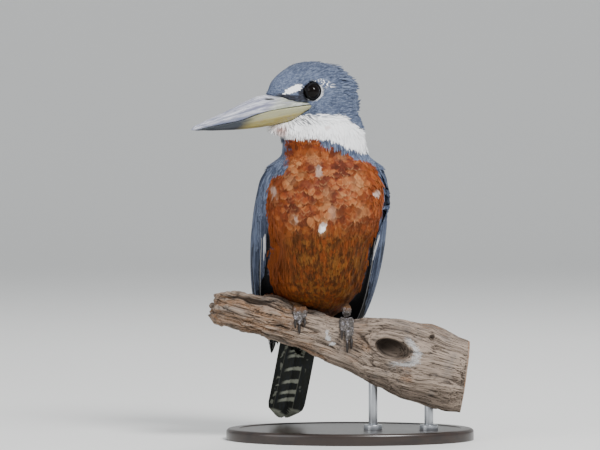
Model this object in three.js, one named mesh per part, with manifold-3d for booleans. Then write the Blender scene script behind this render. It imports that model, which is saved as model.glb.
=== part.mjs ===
// Male ringed kingfisher (Megaceryle torquata), life size, gripping a sawn length of driftwood that a
// display stand holds up. Millimetres, +Z up. The breast faces -Y, and the head is turned to the bird's
// own right, which is at -X. "Left" and "right" are the bird's own. The origin is on the underside of
// the stand's base, below the bird's grip.
import * as THREE from "three";
import { mergeVertices } from "three/addons/utils/BufferGeometryUtils.js";
import Module from "manifold-3d";

const wasm = await Module();
wasm.setup();

// ---- Driving dimensions -------------------------------------------------------------------------

const GAP = 0.35; // clearance that every two touching pieces keep

const BILL_LENGTH = 106; // corner of the gape to the tip, along the mouth line
const HEAD_TURN = 34; // degrees from a true profile, turned towards the front
const HEAD_DIP = 10; // degrees that the bill points below level
const GAPE = new THREE.Vector3(-21.5, -20, 264.6); // mid-point between the two corners of the gape

const EYE_RADIUS = 7;
const EYE = { forward: 0, out: 15, up: 11 }; // centre of each eyeball, from the gape

const WING_THICKNESS = 12; // of the folded feathers, outside to inside
const TAIL_TIP = new THREE.Vector3(-37.8, 68.5, 11.5);

const FOOT_X = { right: -23.5, left: 12.8 }; // where each foot grips the perch
const HOCK = { right: [-7, 4, 4], left: [0.5, 3, 4] }; // from where the toes meet up to the hock
const TOE_RADIUS = 2.2;

const BASE = { length: 196, depth: 124, height: 9, edge: 3, x: 16, y: 10 };
const ROD_RADIUS = 3.5;
const ROD_X = [34, 78];
const ROD_REACH = 90; // before the underside of the driftwood cuts the rods off

// ---- Stations -----------------------------------------------------------------------------------
// Each body below is given by a few stations along one axis, at "at". "p" and "q" are the lowest and
// highest reach of the section there, in the two directions across that axis.

// Level sections, upwards: p is X (the bird's right to left), q is Y (breast to back).
const TRUNK = [
  { at: 96, p: [-5, 10], q: [6, 50] },
  { at: 103, p: [-26, 18], q: [-6, 59] },
  { at: 112, p: [-45, 24], q: [-19, 62.5] },
  { at: 122, p: [-47.5, 27], q: [-30, 63] },
  { at: 136, p: [-50.2, 30], q: [-41, 61.5] },
  { at: 158, p: [-49, 34], q: [-50, 56] },
  { at: 171, p: [-50.5, 41.5], q: [-53, 51] },
  { at: 190, p: [-52, 45.4], q: [-54, 41] },
  { at: 205, p: [-50, 44], q: [-50.5, 34] },
  { at: 220, p: [-44.5, 37], q: [-44, 26] },
  { at: 241, p: [-34, 25], q: [-33, 14] },
];
const NECK = [
  { at: 218, p: [-42, 34], q: [-42, 26] },
  { at: 232, p: [-40, 31.5], q: [-41, 22] },
  { at: 246, p: [-38.5, 26.5], q: [-41, 16] },
  { at: 258, p: [-34, 22], q: [-37, 12] },
  { at: 270, p: [-26, 16], q: [-30, 8] },
];
// Outside of both folded wings, with the shoulders.
const WINGS = [
  { at: 62, p: [-50, 20], q: [44, 70] },
  { at: 82, p: [-56, 25], q: [20, 73] },
  { at: 104, p: [-61, 33], q: [-4, 71.5] },
  { at: 118, p: [-63.4, 37.5], q: [-22, 69] },
  { at: 144, p: [-64, 43], q: [-38, 63] },
  { at: 166, p: [-63, 45.6], q: [-48, 57] },
  { at: 190, p: [-59.4, 46.4], q: [-54, 47] },
  { at: 212, p: [-55, 46.8], q: [-49, 36] },
  { at: 222, p: [-51.5, 43.5], q: [-43, 30] },
  { at: 240, p: [-38, 29], q: [-33, 18] },
];
// Sections square to the bill, forwards from the nape: p is to the bird's left, q is up from the gape.
const HEAD = [
  { at: -47, p: [-10, 10], q: [-20, 6] },
  { at: -41, p: [-16, 16], q: [-25, 17] },
  { at: -31, p: [-21.5, 21.5], q: [-27, 26] },
  { at: -18, p: [-22.5, 22.5], q: [-26, 31.4] },
  { at: -6, p: [-21.5, 21.5], q: [-23, 33] },
  { at: 5, p: [-17, 17], q: [-19, 32.3] },
  { at: 15, p: [-12.8, 12.8], q: [-15.5, 29.2] },
  { at: 25, p: [-10, 10], q: [-13, 25.5] },
  { at: 35, p: [-8, 8], q: [-11.5, 19] },
];
// Both halves of the bill, forwards. The base is a wedge on each side that ends at the gape.
const BILL = [
  { at: -1, p: [-19, 19], q: [-3, 3.8] },
  { at: 3, p: [-18.3, 18.3], q: [-3.9, 4] },
  { at: 8, p: [-16.7, 16.7], q: [-5.8, 5.6] },
  { at: 16, p: [-13.8, 13.8], q: [-9.6, 9.6] },
  { at: 27, p: [-11.2, 11.2], q: [-10.6, 13] },
  { at: 40, p: [-9.2, 9.2], q: [-10.3, 13.9] },
  { at: 60, p: [-6.8, 6.8], q: [-8.6, 9.8] },
  { at: 80, p: [-4.4, 4.4], q: [-5.7, 5.6] },
  { at: 96, p: [-2.2, 2.2], q: [-3.1, 2.5] },
  { at: BILL_LENGTH, p: [-0.8, 0.8], q: [-1.5, 0.6] },
];
// The middle line of the crest as (left, up, forward) from the gape, and its half-sizes on the way.
const CREST_SPINE = [[0, 22, -26], [0, 13, -36.5], [0, 1, -40.8], [0, -12, -42], [0, -24, -39.5]];
const CREST_SIZES = [[0, 9, 4], [0.35, 13.8, 6.2], [0.7, 13, 5.8], [1, 5, 2.5]];
// The mouth line as (forward, up): the two halves of the bill meet along it, short of the upper tip.
const MOUTH = [[-6, 0], [8, 1], [22, 1.6], [36, 2], [46, 1.3], [64, -1], [90, -1], [102, -1.6], [112, -4]];
// Upright sections of the driftwood, towards the bird's left: p is Y, q is Z.
const PERCH = [
  { at: -94, p: [-16.5, 9], q: [93, 117] },
  { at: -80, p: [-18.5, 11], q: [90, 118.5] },
  { at: -53, p: [-20, 13], q: [83, 115.5] },
  { at: -24, p: [-20, 15], q: [73, 105] },
  { at: 0, p: [-20, 17], q: [61, 97.5] },
  { at: 16, p: [-22, 20], q: [54, 94.5] },
  { at: 35, p: [-26, 25], q: [44, 98] },
  { at: 55, p: [-29, 29], q: [34, 96] },
  { at: 79, p: [-30, 31], q: [26.5, 91] },
  { at: 98, p: [-28, 30], q: [22, 84] },
  { at: 124, p: [-25, 27], q: [20, 68] },
];

// Limbs: a line of points, and half-sizes as [share of the length, along the side, across it].
const VENT_SPINE = [[-8, 24, 132], [-15, 38, 108], [-21, 50, 88], [-25, 58, 68]];
const VENT_SIZES = [[0, 26, 24], [0.4, 23, 20], [0.75, 16, 12], [1, 9, 5]];
const CHIN_SPINE = [[0, -20, 0], [0, -15, 15], [0, -11.2, 32]]; // (left, up, forward) from the gape
const CHIN_SIZES = [[0, 13, 9.5], [0.5, 10.5, 7], [1, 6.5, 2.8]];
const TAIL_ROOT = new THREE.Vector3(-19, 57, 108);
const TAIL_BEND = new THREE.Vector3(-26.5, 65, 66);
const TAIL_SIDE = new THREE.Vector3(1, -0.1, 0.14);
const TAIL_SIZES = [[0, 7, 4.5], [0.42, 13.4, 4], [0.62, 14.6, 3], [0.9, 14.4, 2], [1, 11, 1.6]];
const TARSUS_SIZES = [[0, 5, 5], [0.5, 3.6, 3.8], [0.8, 3.2, 3.2], [1, 4.4, 3.4]];
const TOE_SIZES = [[0, 2.3, 2.6], [0.5, TOE_RADIUS, 2.2], [0.85, 1.8, 1.8], [1, 1.3, 1.4]];
const CLAW_SIZES = [[0, 1.3, 1.5], [0.5, 1, 1.2], [1, 0.35, 0.4]];

// Cuts in the driftwood.
const SAW_CUT = { x: 108, lean: 8 }; // where the driftwood is cut off, and how far the cut leans
const BREAKS = [ // the broken end of the driftwood: sizes, centres and turns of the blocks cut off it
  { size: [20, 60, 30], centre: [-97.5, 0, 122.5], turn: 14 },
  { size: [12, 44, 5], centre: [-91, -10, 108], turn: -10 },
  { size: [20, 60, 30], centre: [-99.5, 0, 91], turn: -12 },
];
const KNOT = { x: 48.5, y: -28.5, z: 74, long: 15, high: 8, deep: 13, tilt: -18 };

// ---- Shapes -------------------------------------------------------------------------------------

// A smooth curve of "value" through (place, value) pairs that never overshoots them.
function through(pairs) {
  const rise = (i) => (pairs[i + 1][1] - pairs[i][1]) / (pairs[i + 1][0] - pairs[i][0]);
  const slope = (i) => {
    if (i === 0) return rise(0);
    if (i === pairs.length - 1) return rise(i - 1);
    const [before, after] = [rise(i - 1), rise(i)];
    return before * after <= 0 ? 0 : (2 * before * after) / (before + after);
  };
  return (place) => {
    let i = 0;
    while (i < pairs.length - 2 && place > pairs[i + 1][0]) i += 1;
    const width = pairs[i + 1][0] - pairs[i][0];
    const t = THREE.MathUtils.clamp((place - pairs[i][0]) / width, 0, 1);
    const [t2, t3] = [t * t, t * t * t];
    return (
      (2 * t3 - 3 * t2 + 1) * pairs[i][1] + (t3 - 2 * t2 + t) * width * slope(i) +
      (3 * t2 - 2 * t3) * pairs[i + 1][1] + (t3 - t2) * width * slope(i + 1)
    );
  };
}

const FULL = 2.2; // of a section that is just squarer than an ellipse

// How much of its full size a body keeps at share t of its length: it rounds off at both ends.
const rounded = (t, blunt) => Math.sqrt(Math.max(0, 1 - Math.abs(2 * t - 1) ** blunt));

// A point of a rounded-square section: "full" is 2 for an ellipse and more for a squarer one.
function onSection(angle, full) {
  const power = (value) => Math.sign(value) * Math.abs(value) ** (2 / full);
  return [power(Math.cos(angle)), power(Math.sin(angle))];
}

// Moves each vertex of a unit sphere to place(t, angle): t runs from pole to pole, angle round the axis.
function fromSphere(around, rings, place) {
  const shape = new THREE.SphereGeometry(1, around, rings);
  const position = shape.getAttribute("position");
  for (let i = 0; i < position.count; i += 1) {
    const polar = Math.acos(THREE.MathUtils.clamp(position.getY(i), -1, 1));
    const t = THREE.MathUtils.lerp(polar / Math.PI, (1 - Math.cos(polar)) / 2, 0.5);
    const point = place(t, Math.atan2(position.getZ(i), position.getX(i)));
    position.setXYZ(i, point.x, point.y, point.z);
  }
  return shape;
}

// The reach of a station body at one place on its axis, as a centre and half-sizes.
function sectionOf(stations) {
  const reach = (key, side) => through(stations.map((s) => [s.at, s[key][side]]));
  const [pLow, pHigh, qLow, qHigh] = [reach("p", 0), reach("p", 1), reach("q", 0), reach("q", 1)];
  return (at) => ({
    p: (pLow(at) + pHigh(at)) / 2,
    q: (qLow(at) + qHigh(at)) / 2,
    halfP: (pHigh(at) - pLow(at)) / 2,
    halfQ: (qHigh(at) - qLow(at)) / 2,
  });
}

// A closed body through stations. frame turns (p, q, at) into the model's own axes, grow thickens the
// body all over, and relief(angle, at) adds to its radius.
function stack(stations, options = {}) {
  const { around = 24, rings = 18, full = FULL, blunt = 8, grow = 0 } = options;
  const { frame = new THREE.Matrix4(), relief = () => 0 } = options;
  const section = sectionOf(stations);
  const [start, end] = [stations[0].at - grow, stations.at(-1).at + grow];
  const shape = fromSphere(around, rings, (t, angle) => {
    const at = THREE.MathUtils.lerp(start, end, t);
    const { p, q, halfP, halfQ } = section(at);
    const size = rounded(t, blunt);
    const [across, up] = onSection(angle, full);
    const extra = grow + relief(angle, at);
    return new THREE.Vector3(p + across * size * (halfP + extra), q + up * size * (halfQ + extra), at);
  });
  return shape.applyMatrix4(frame);
}

// A closed body along a curve. sizes gives [share of the length, half-size along side, half-size across].
function limb(points, side, sizes, options = {}) {
  const { around = 6, rings = 6, full = 2, blunt = 6, grow = 0 } = options;
  const spine = new THREE.CatmullRomCurve3(points, false, "centripetal");
  const along = through(sizes.map(([t, half]) => [t, half]));
  const across = through(sizes.map(([t, , half]) => [t, half]));
  return fromSphere(around, rings, (t, angle) => {
    const forward = spine.getTangentAt(t);
    const sideways = side.clone().addScaledVector(forward, -side.dot(forward)).normalize();
    const upwards = new THREE.Vector3().crossVectors(forward, sideways);
    const size = rounded(t, blunt);
    const [c, s] = onSection(angle, full);
    return spine
      .getPointAt(t)
      .addScaledVector(forward, grow * (2 * t - 1))
      .addScaledVector(sideways, c * size * (along(t) + grow))
      .addScaledVector(upwards, s * size * (across(t) + grow));
  });
}

// ---- Joining and cutting ------------------------------------------------------------------------

function solidOf(shape) {
  const bare = shape.clone();
  bare.deleteAttribute("normal");
  bare.deleteAttribute("uv");
  const merged = mergeVertices(bare, 1e-4);
  return new wasm.Manifold(
    new wasm.Mesh({
      numProp: 3,
      vertProperties: merged.getAttribute("position").array,
      triVerts: new Uint32Array(merged.index.array),
    }),
  );
}

const largest = (solid) =>
  solid.decompose().reduce((best, piece) => (piece.volume() > best.volume() ? piece : best));

const without = (solid, ...others) =>
  largest(others.reduce((rest, other) => rest.subtract(other), solid));

// A box as a solid, turned by "turn" degrees about Y and centred on a point.
function block(size, centre, turn = 0) {
  const shape = new THREE.BoxGeometry(...size).rotateY(THREE.MathUtils.degToRad(turn));
  return solidOf(shape.translate(...centre));
}

// A closed outline in the YZ or XZ plane, made a prism that runs along the third axis.
function prism(outline, plane, from, to) {
  const curve = new THREE.SplineCurve(outline.map(([a, b]) => new THREE.Vector2(a, b)));
  const shape = new THREE.Shape(curve.getPoints(outline.length * 2));
  const extruded = new THREE.ExtrudeGeometry(shape, { depth: to - from, bevelEnabled: false });
  const [x, y, z] = [new THREE.Vector3(1, 0, 0), new THREE.Vector3(0, 1, 0), new THREE.Vector3(0, 0, 1)];
  const basis = plane === "YZ" ? [y, z, x] : [x, z, y.negate()];
  const offset = basis[2].clone().multiplyScalar(plane === "YZ" ? from : -to);
  return solidOf(extruded.applyMatrix4(new THREE.Matrix4().makeBasis(...basis).setPosition(offset)));
}

// ---- Axes ------------------------------------------------------------------------

const [turn, dip] = [HEAD_TURN, HEAD_DIP].map(THREE.MathUtils.degToRad);
const FORWARD = new THREE.Vector3(
  -Math.cos(turn) * Math.cos(dip), -Math.sin(turn) * Math.cos(dip), -Math.sin(dip),
);
const LEFTWARD = new THREE.Vector3(Math.sin(turn), -Math.cos(turn), 0);
const UPWARD = new THREE.Vector3().crossVectors(FORWARD, LEFTWARD);
const HEAD_FRAME = new THREE.Matrix4().makeBasis(LEFTWARD, UPWARD, FORWARD).setPosition(GAPE);
const onHead = (left, up, forward) => new THREE.Vector3(left, up, forward).applyMatrix4(HEAD_FRAME);

const SIDEWAYS = new THREE.Vector3(1, 0, 0);
const PERCH_FRAME = new THREE.Matrix4().makeBasis(
  new THREE.Vector3(0, 1, 0), new THREE.Vector3(0, 0, 1), new THREE.Vector3(1, 0, 0),
);

// ---- Pieces -------------------------------------------------------------------------------------

const nodes = new THREE.Group();
const solids = {};

const finish = (color, roughness, metalness = 0) =>
  new THREE.MeshStandardMaterial({ color, roughness, metalness });
const FINISH = {
  slate: finish(0x66738a, 0.8),
  white: finish(0xeeece6, 0.85),
  rufous: finish(0xa5491f, 0.8),
  quill: finish(0x3b4352, 0.7),
  horn: finish(0xa9aaa6, 0.4),
  dark_horn: finish(0x5f5f5a, 0.4),
  eye: finish(0x140d0a, 0.05),
  foot: finish(0x6d6258, 0.7),
  claw: finish(0x24201e, 0.4),
  wood: finish(0x9a8672, 0.9),
  plinth: finish(0x3a2a20, 0.5),
  steel: finish(0xb9bcc0, 0.3, 1),
};

// Adds a solid to the model as a mesh of its own, and keeps it for the pieces that are cut by it.
function add(name, solid, material) {
  solids[name] = solid;
  const { vertProperties, triVerts } = solid.getMesh();
  const shape = new THREE.BufferGeometry();
  shape.setAttribute("position", new THREE.BufferAttribute(vertProperties, 3));
  shape.setIndex(new THREE.BufferAttribute(triVerts, 1));
  shape.computeVertexNormals();
  const mesh = new THREE.Mesh(shape, FINISH[material]);
  mesh.name = name;
  nodes.add(mesh);
}

const headPart = (stations, grow, options) =>
  solidOf(stack(stations, { frame: HEAD_FRAME, grow, ...options }));

// The loose feathers of the nape, from the crown down to the collar.
function crestShape(grow) {
  const spine = CREST_SPINE.map((point) => onHead(...point));
  return solidOf(limb(spine, LEFTWARD, CREST_SIZES, { around: 12, rings: 10, grow }));
}

function eyeBall(side, grow) {
  const centre = onHead(side * EYE.out, EYE.up, EYE.forward);
  return solidOf(new THREE.SphereGeometry(EYE_RADIUS + grow, 14, 8).translate(...centre));
}

// The flutes and swellings of weathered wood, in millimetres of radius.
function grain(angle, at) {
  const flutes = 0.9 * Math.sin(7 * angle + at * 0.03) + 0.6 * Math.sin(13 * angle - at * 0.05);
  const swells = 0.8 * Math.sin(at * 0.21 + 2 * angle) + 0.5 * Math.sin(at * 0.47 - 3 * angle);
  return flutes + swells;
}

function perchShape(grow) {
  const options = { frame: PERCH_FRAME, around: 20, rings: 20, blunt: 40, grow, relief: grain };
  const whole = solidOf(stack(PERCH, options));
  const beyond = block([80, 160, 200], [SAW_CUT.x + 40, 0, 60], SAW_CUT.lean);
  const hollow = new THREE.SphereGeometry(1, 12, 6).scale(KNOT.long, KNOT.deep, KNOT.high);
  hollow.rotateY(THREE.MathUtils.degToRad(-KNOT.tilt)).translate(KNOT.x, KNOT.y, KNOT.z);
  const breaks = BREAKS.map(({ size, centre, turn }) => block(size, centre, turn));
  return without(whole, beyond, solidOf(hollow), ...breaks);
}

// The belly and back, with the vent running down behind the perch to the tail.
function trunkShape(grow) {
  const body = solidOf(stack(TRUNK, { around: 22, rings: 14, full: 2.35, grow }));
  const spine = VENT_SPINE.map((point) => new THREE.Vector3(...point));
  const vent = limb(spine, SIDEWAYS, VENT_SIZES, { around: 14, rings: 8, grow });
  return body.add(solidOf(vent));
}

// The neck, with the feathered chin that runs forwards between the branches of the lower jaw.
function neckShape(grow) {
  const collar = solidOf(stack(NECK, { around: 20, rings: 6, full: 2.1, blunt: 10, grow }));
  const spine = CHIN_SPINE.map((point) => onHead(...point));
  return collar.add(solidOf(limb(spine, LEFTWARD, CHIN_SIZES, { around: 10, grow })));
}

const billShape = (grow) => headPart(BILL, grow, { around: 14, rings: 14, full: 2.4, blunt: 30 });

// Everything below the mouth line, raised by "rise".
function belowMouth(rise) {
  const line = MOUTH.map(([forward, up]) => new THREE.Vector2(forward, up + rise));
  const shape = new THREE.Shape([...line, new THREE.Vector2(BILL_LENGTH, -60), new THREE.Vector2(0, -60)]);
  const slab = new THREE.ExtrudeGeometry(shape, { depth: 80, bevelEnabled: false }).translate(0, 0, -40);
  const rightward = LEFTWARD.clone().negate();
  const frame = new THREE.Matrix4().makeBasis(FORWARD, UPWARD, rightward).setPosition(GAPE);
  return solidOf(slab.applyMatrix4(frame));
}

function buildHeadAndBody(footRooms) {
  const [trunkRoom, neckRoom] = [trunkShape(GAP), neckShape(GAP)];
  const [bill, billRoom] = [billShape(0), billShape(GAP)];
  add("trunk", without(trunkShape(0), ...footRooms), "rufous");
  add("neck", without(neckShape(0), trunkRoom, billRoom), "white");
  add("upper_bill", largest(bill.subtract(belowMouth(GAP / 2))), "horn");
  add("lower_bill", largest(bill.intersect(belowMouth(-GAP / 2))), "dark_horn");
  add("eye_left", eyeBall(1, 0), "eye");
  add("eye_right", eyeBall(-1, 0), "eye");
  add("crest", without(crestShape(0), neckRoom, trunkRoom), "slate");
  const eyeRoom = [1, -1].map((side) => eyeBall(side, GAP));
  const head = headPart(HEAD, 0, { around: 18, rings: 12, blunt: 6 });
  add("head", without(head, neckRoom, trunkRoom, crestShape(GAP), billRoom, ...eyeRoom), "slate");
}

// ---- Wings --------------------------------------------------------------------------------------

// Side view of a folded wing as (Y, Z): round shoulder, leading edge down to the tip, and back up.
const WING_SIDE = [
  [-12, 231], [-24, 219], [-25, 200], [-22, 176], [-12, 148], [5, 118], [29, 92], [48, 68],
  [58, 60], [70, 76], [84, 120], [76, 160], [58, 195], [30, 222], [10, 229],
];
// View from behind as (distance from the mid-line of the back, Z): the rump shows inside it.
const WING_BACK = [
  [90, 240], [30, 232], [23, 208], [13, 178], [7, 150], [11, 124], [16, 102], [22, 82], [26, 62],
  [90, 46],
];
const BACK_LINE = through([[60, -21], [84, -18], [150, -9], [240, -9]]); // X of that mid-line at a height
const WING_CUTS = [{ z: 168, lean: 24 }, { z: 124, lean: 24 }]; // below the coverts, below the secondaries
const WING_PARTS = ["primaries", "secondaries", "coverts"]; // upwards
const SLIVER = 300; // cubic millimetres: what the cuts leave that is smaller isn't kept
const WIDE = 100; // reach of a cutting shape that passes right through the body

function buildWings() {
  const outside = solidOf(stack(WINGS, { around: 20, rings: 12, full: 2.3 }));
  const inside = solidOf(stack(WINGS, { around: 14, rings: 8, full: 2.3, grow: -WING_THICKNESS }));
  const rooms = [trunkShape(GAP), neckShape(GAP), crestShape(GAP), perchShape(GAP), tailShape(GAP)];
  const shell = rooms.reduce((rest, room) => rest.subtract(room), outside.subtract(inside));
  const sideView = prism(WING_SIDE, "YZ", -WIDE, WIDE);
  for (const [name, side] of [["left", 1], ["right", -1]]) {
    const outline = WING_BACK.map(([off, z]) => [BACK_LINE(z) + side * off, z]);
    const backView = prism(side > 0 ? outline : outline.reverse(), "XZ", -WIDE, WIDE);
    const wing = largest(shell.intersect(sideView).intersect(backView));
    const slabs = WING_CUTS.map(({ z, lean }) => leaningSlab(z, lean));
    const pieces = slabs.reduce((rest, slab) => rest.subtract(slab), wing).decompose();
    const tall = pieces.filter((piece) => piece.volume() > SLIVER);
    const middle = (piece) => piece.boundingBox().min[2] + piece.boundingBox().max[2];
    tall.sort((a, b) => middle(a) - middle(b));
    tall.forEach((piece, i) => add(`wing_${name}_${WING_PARTS[i]}`, piece, i ? "slate" : "quill"));
  }
}

// A thin slab across a wing that drops towards the back by "lean" degrees.
function leaningSlab(z, lean) {
  const shape = new THREE.BoxGeometry(3 * WIDE, 3 * WIDE, GAP).rotateX(THREE.MathUtils.degToRad(lean));
  return solidOf(shape.translate(0, 10, z));
}

// ---- Tail and legs ------------------------------------------------------------------------------

function tailShape(grow) {
  const above = TAIL_ROOT.clone().lerp(TAIL_BEND, 0.5);
  const below = TAIL_BEND.clone().lerp(TAIL_TIP, 0.5);
  const spine = [TAIL_ROOT, above, TAIL_BEND, below, TAIL_TIP];
  return solidOf(limb(spine, TAIL_SIDE, TAIL_SIZES, { around: 14, rings: 10, full: 2.6, blunt: 14, grow }));
}

const perchAt = sectionOf(PERCH);

// The point at "degrees" round the perch from its top (positive to the front), "rise" above its wood.
function roundPerch(x, degrees, rise) {
  const { p, q, halfP, halfQ } = perchAt(x);
  const angle = THREE.MathUtils.degToRad(90 + degrees);
  const [across, up] = onSection(angle, FULL);
  const extra = rise + grain(angle, x);
  return new THREE.Vector3(x, p + across * (halfP + extra), q + up * (halfQ + extra));
}

// name, sideways place at the root and at the tip, and the angles round the perch that it spans.
const TOES = [
  { name: "middle", root: 0, tip: 0.6, from: 18, to: 82 },
  { name: "outer", root: 3.5, tip: 3.9, from: 18, to: 72 },
  { name: "inner", root: -3.4, tip: -3.7, from: 18, to: 60 },
  { name: "hind", root: 0, tip: -1, from: 2, to: -56 },
];
const CLAW_SPAN = 24; // degrees round the perch
const HEEL = { degrees: 5, rise: TOE_RADIUS + 1.4 }; // where the toes meet, above the wood
const TOE_TAPER = 0.6; // how much nearer the wood a toe's middle line comes at its end

// Adds both feet, and returns the room that they and the perch take.
function buildLegs(wood) {
  const footRooms = [wood];
  for (const [name, out] of [["left", 1], ["right", -1]]) {
    const x = FOOT_X[name];
    const heel = roundPerch(x, HEEL.degrees, HEEL.rise);
    const hock = heel.clone().add(new THREE.Vector3(...HOCK[name]));
    const inside = hock.clone().add(new THREE.Vector3(-out, 4, 6));
    const tarsus = solidOf(limb([inside, hock, heel], SIDEWAYS, TARSUS_SIZES, { around: 8, rings: 6 }));

    const grown = [];
    for (const toe of TOES) {
      const toeLine = [0, 0.25, 0.5, 0.75, 1].map((share) => {
        const along = THREE.MathUtils.lerp(toe.from, toe.to, share);
        const off = THREE.MathUtils.lerp(toe.root, toe.tip, share) * out;
        return roundPerch(x + off, along, TOE_RADIUS - TOE_TAPER * share);
      });
      const clawLine = [0, 0.5, 1].map((share) => {
        const along = toe.to + Math.sign(toe.to) * CLAW_SPAN * (share - 0.1);
        const rise = TOE_RADIUS - TOE_TAPER + 1.6 * Math.sin(Math.PI * share) - 1.4 * share;
        return roundPerch(x + toe.tip * out, along, rise);
      });
      const toeRoom = solidOf(limb(toeLine, SIDEWAYS, TOE_SIZES, { grow: GAP }));
      const body = solidOf(limb(toeLine, SIDEWAYS, TOE_SIZES));
      const claw = solidOf(limb(clawLine, SIDEWAYS, CLAW_SIZES, { rings: 5 }));
      add(`toe_${name}_${toe.name}`, without(body, wood, ...grown), "foot");
      add(`claw_${name}_${toe.name}`, without(claw, wood, toeRoom), "claw");
      grown.push(toeRoom);
    }
    footRooms.push(...grown);
    add(`tarsus_${name}`, without(tarsus, wood, trunkShape(GAP), ...grown), "foot");
  }
  return footRooms;
}

// ---- Perch and stand ----------------------------------------------------------------------------

function buildStand(wood) {
  const { length, depth, height, edge, x, y } = BASE;
  const radius = length / 2;
  const outline = new THREE.Path();
  outline.moveTo(0, 0);
  outline.lineTo(radius, 0);
  outline.lineTo(radius, height - edge);
  outline.absarc(radius - edge, height - edge, edge, 0, Math.PI / 2, false);
  outline.lineTo(0, height);
  const shape = new THREE.LatheGeometry(outline.getPoints(2), 32);
  shape.rotateX(Math.PI / 2).scale(1, depth / length, 1).translate(x, y, 0);
  add("stand_base", solidOf(shape), "plinth");
  ROD_X.forEach((rodX, i) => {
    const rod = new THREE.CylinderGeometry(ROD_RADIUS, ROD_RADIUS, ROD_REACH, 16).rotateX(Math.PI / 2);
    const placed = solidOf(rod.translate(rodX, 0, height + GAP + ROD_REACH / 2));
    const below = placed.subtract(wood).decompose()
      .reduce((low, piece) => (piece.boundingBox().min[2] < low.boundingBox().min[2] ? piece : low));
    add(`stand_rod_${i + 1}`, below, "steel");
  });
}

const perchRoom = perchShape(GAP);
add("perch", perchShape(0), "wood");
buildStand(perchRoom);
buildHeadAndBody(buildLegs(perchRoom));
buildWings();
add("tail", without(tailShape(0), trunkShape(GAP)), "quill");

export default nodes;
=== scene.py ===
"""Male ringed kingfisher, life size, gripping a sawn length of driftwood that a display stand holds up.

Laid out as an add-on and run as a script: each operator makes one piece or a group of like pieces around
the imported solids, and main() runs them in order. +Z is up, the breast faces -Y, and the head is turned to
the bird's own right, which is at -X. Meshes are in metres. Places, sizes and depths in the tables and
formulas for markings, feathers and relief are in millimetres, and are multiplied by MM where they meet a
mesh.
"""

import math

import bmesh
import bpy
import numpy as np
from bpy.props import FloatProperty, FloatVectorProperty, PointerProperty
from mathutils import Matrix, Vector, noise
from mathutils.bvhtree import BVHTree


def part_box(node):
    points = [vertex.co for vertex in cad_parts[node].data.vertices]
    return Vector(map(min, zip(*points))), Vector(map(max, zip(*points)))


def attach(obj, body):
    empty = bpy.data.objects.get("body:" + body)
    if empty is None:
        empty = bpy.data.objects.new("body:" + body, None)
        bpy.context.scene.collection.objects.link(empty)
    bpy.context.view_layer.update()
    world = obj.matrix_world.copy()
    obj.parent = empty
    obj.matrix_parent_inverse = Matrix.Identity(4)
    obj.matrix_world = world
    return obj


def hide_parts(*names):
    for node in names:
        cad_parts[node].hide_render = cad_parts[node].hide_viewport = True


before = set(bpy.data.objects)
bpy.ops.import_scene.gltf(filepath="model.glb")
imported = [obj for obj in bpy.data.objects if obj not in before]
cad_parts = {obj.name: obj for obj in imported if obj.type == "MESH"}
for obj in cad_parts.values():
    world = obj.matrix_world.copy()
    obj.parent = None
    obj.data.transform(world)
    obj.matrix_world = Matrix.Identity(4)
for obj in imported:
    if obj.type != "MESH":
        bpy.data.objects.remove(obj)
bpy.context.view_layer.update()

bl_info = {
    "name": "Ringed kingfisher",
    "version": (1, 0, 0),
    "blender": (4, 5, 0),
    "location": "3D View > Sidebar > Kingfisher",
    "description": "A life-size ringed kingfisher on driftwood, dressed around its packed solids",
    "category": "Add Mesh",
}

MM = 0.001
SEED = 7
TUFT_PATCH = 0.003  # side of one tuft's patch on its bake map
SKIN_VOXEL = 1.5 * MM
THICKENED = 0.45 * MM  # how far copies of flesh nodes grow before they are joined in one mesh
BODY_MIDDLE = -8  # X halfway between the wings, in millimetres

# ---- The head's own axes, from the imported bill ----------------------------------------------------

HEAD_TURN = math.radians(34)  # from a true profile, towards the front
HEAD_DIP = math.radians(10)  # the bill points below level
BILL_LENGTH = 106  # millimetres, corner of the gape to the tip
FORWARD = Vector((
    -math.cos(HEAD_TURN) * math.cos(HEAD_DIP),
    -math.sin(HEAD_TURN) * math.cos(HEAD_DIP),
    -math.sin(HEAD_DIP),
))
LEFTWARD = Vector((math.sin(HEAD_TURN), -math.cos(HEAD_TURN), 0))
UPWARD = FORWARD.cross(LEFTWARD)
TIP_DROP = 0.45  # millimetres that the bill's tip lies below the level of the gape
BILL_TIP = max((vertex.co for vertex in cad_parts["upper_bill"].data.vertices), key=FORWARD.dot)
GAPE = BILL_TIP - (FORWARD * BILL_LENGTH - UPWARD * TIP_DROP) * MM
EYE_UP = 11  # millimetres from the gape up to the middle of the eyes

SIDES = ("left", "right")
BODY_NODES = ("head", "neck", "crest", "trunk")
WING_PARTS = ("coverts", "secondaries", "primaries")
WING_NODES = {side: tuple(f"wing_{side}_{part}" for part in WING_PARTS) for side in SIDES}
TOES = ("middle", "outer", "inner", "hind")


# ---- Sizes and colours that a user may change -----------------------------------------------------

def linear(code):
    """A hex colour as the linear red, green and blue that shaders use."""
    parts = [int(code[i:i + 2], 16) / 255 for i in (1, 3, 5)]
    return tuple(c / 12.92 if c <= 0.04045 else ((c + 0.055) / 1.055) ** 2.4 for c in parts)


def colour(name, description, code):
    return FloatVectorProperty(
        name=name, description=description, default=linear(code), subtype="COLOR", size=3, min=0, max=1
    )


def distance(name, description, millimetres):
    return FloatProperty(name=name, description=description, default=millimetres * MM, unit="LENGTH", min=0)


def power(name, description, watts):
    return FloatProperty(name=name, description=description, default=watts, unit="POWER", min=0)


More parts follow.
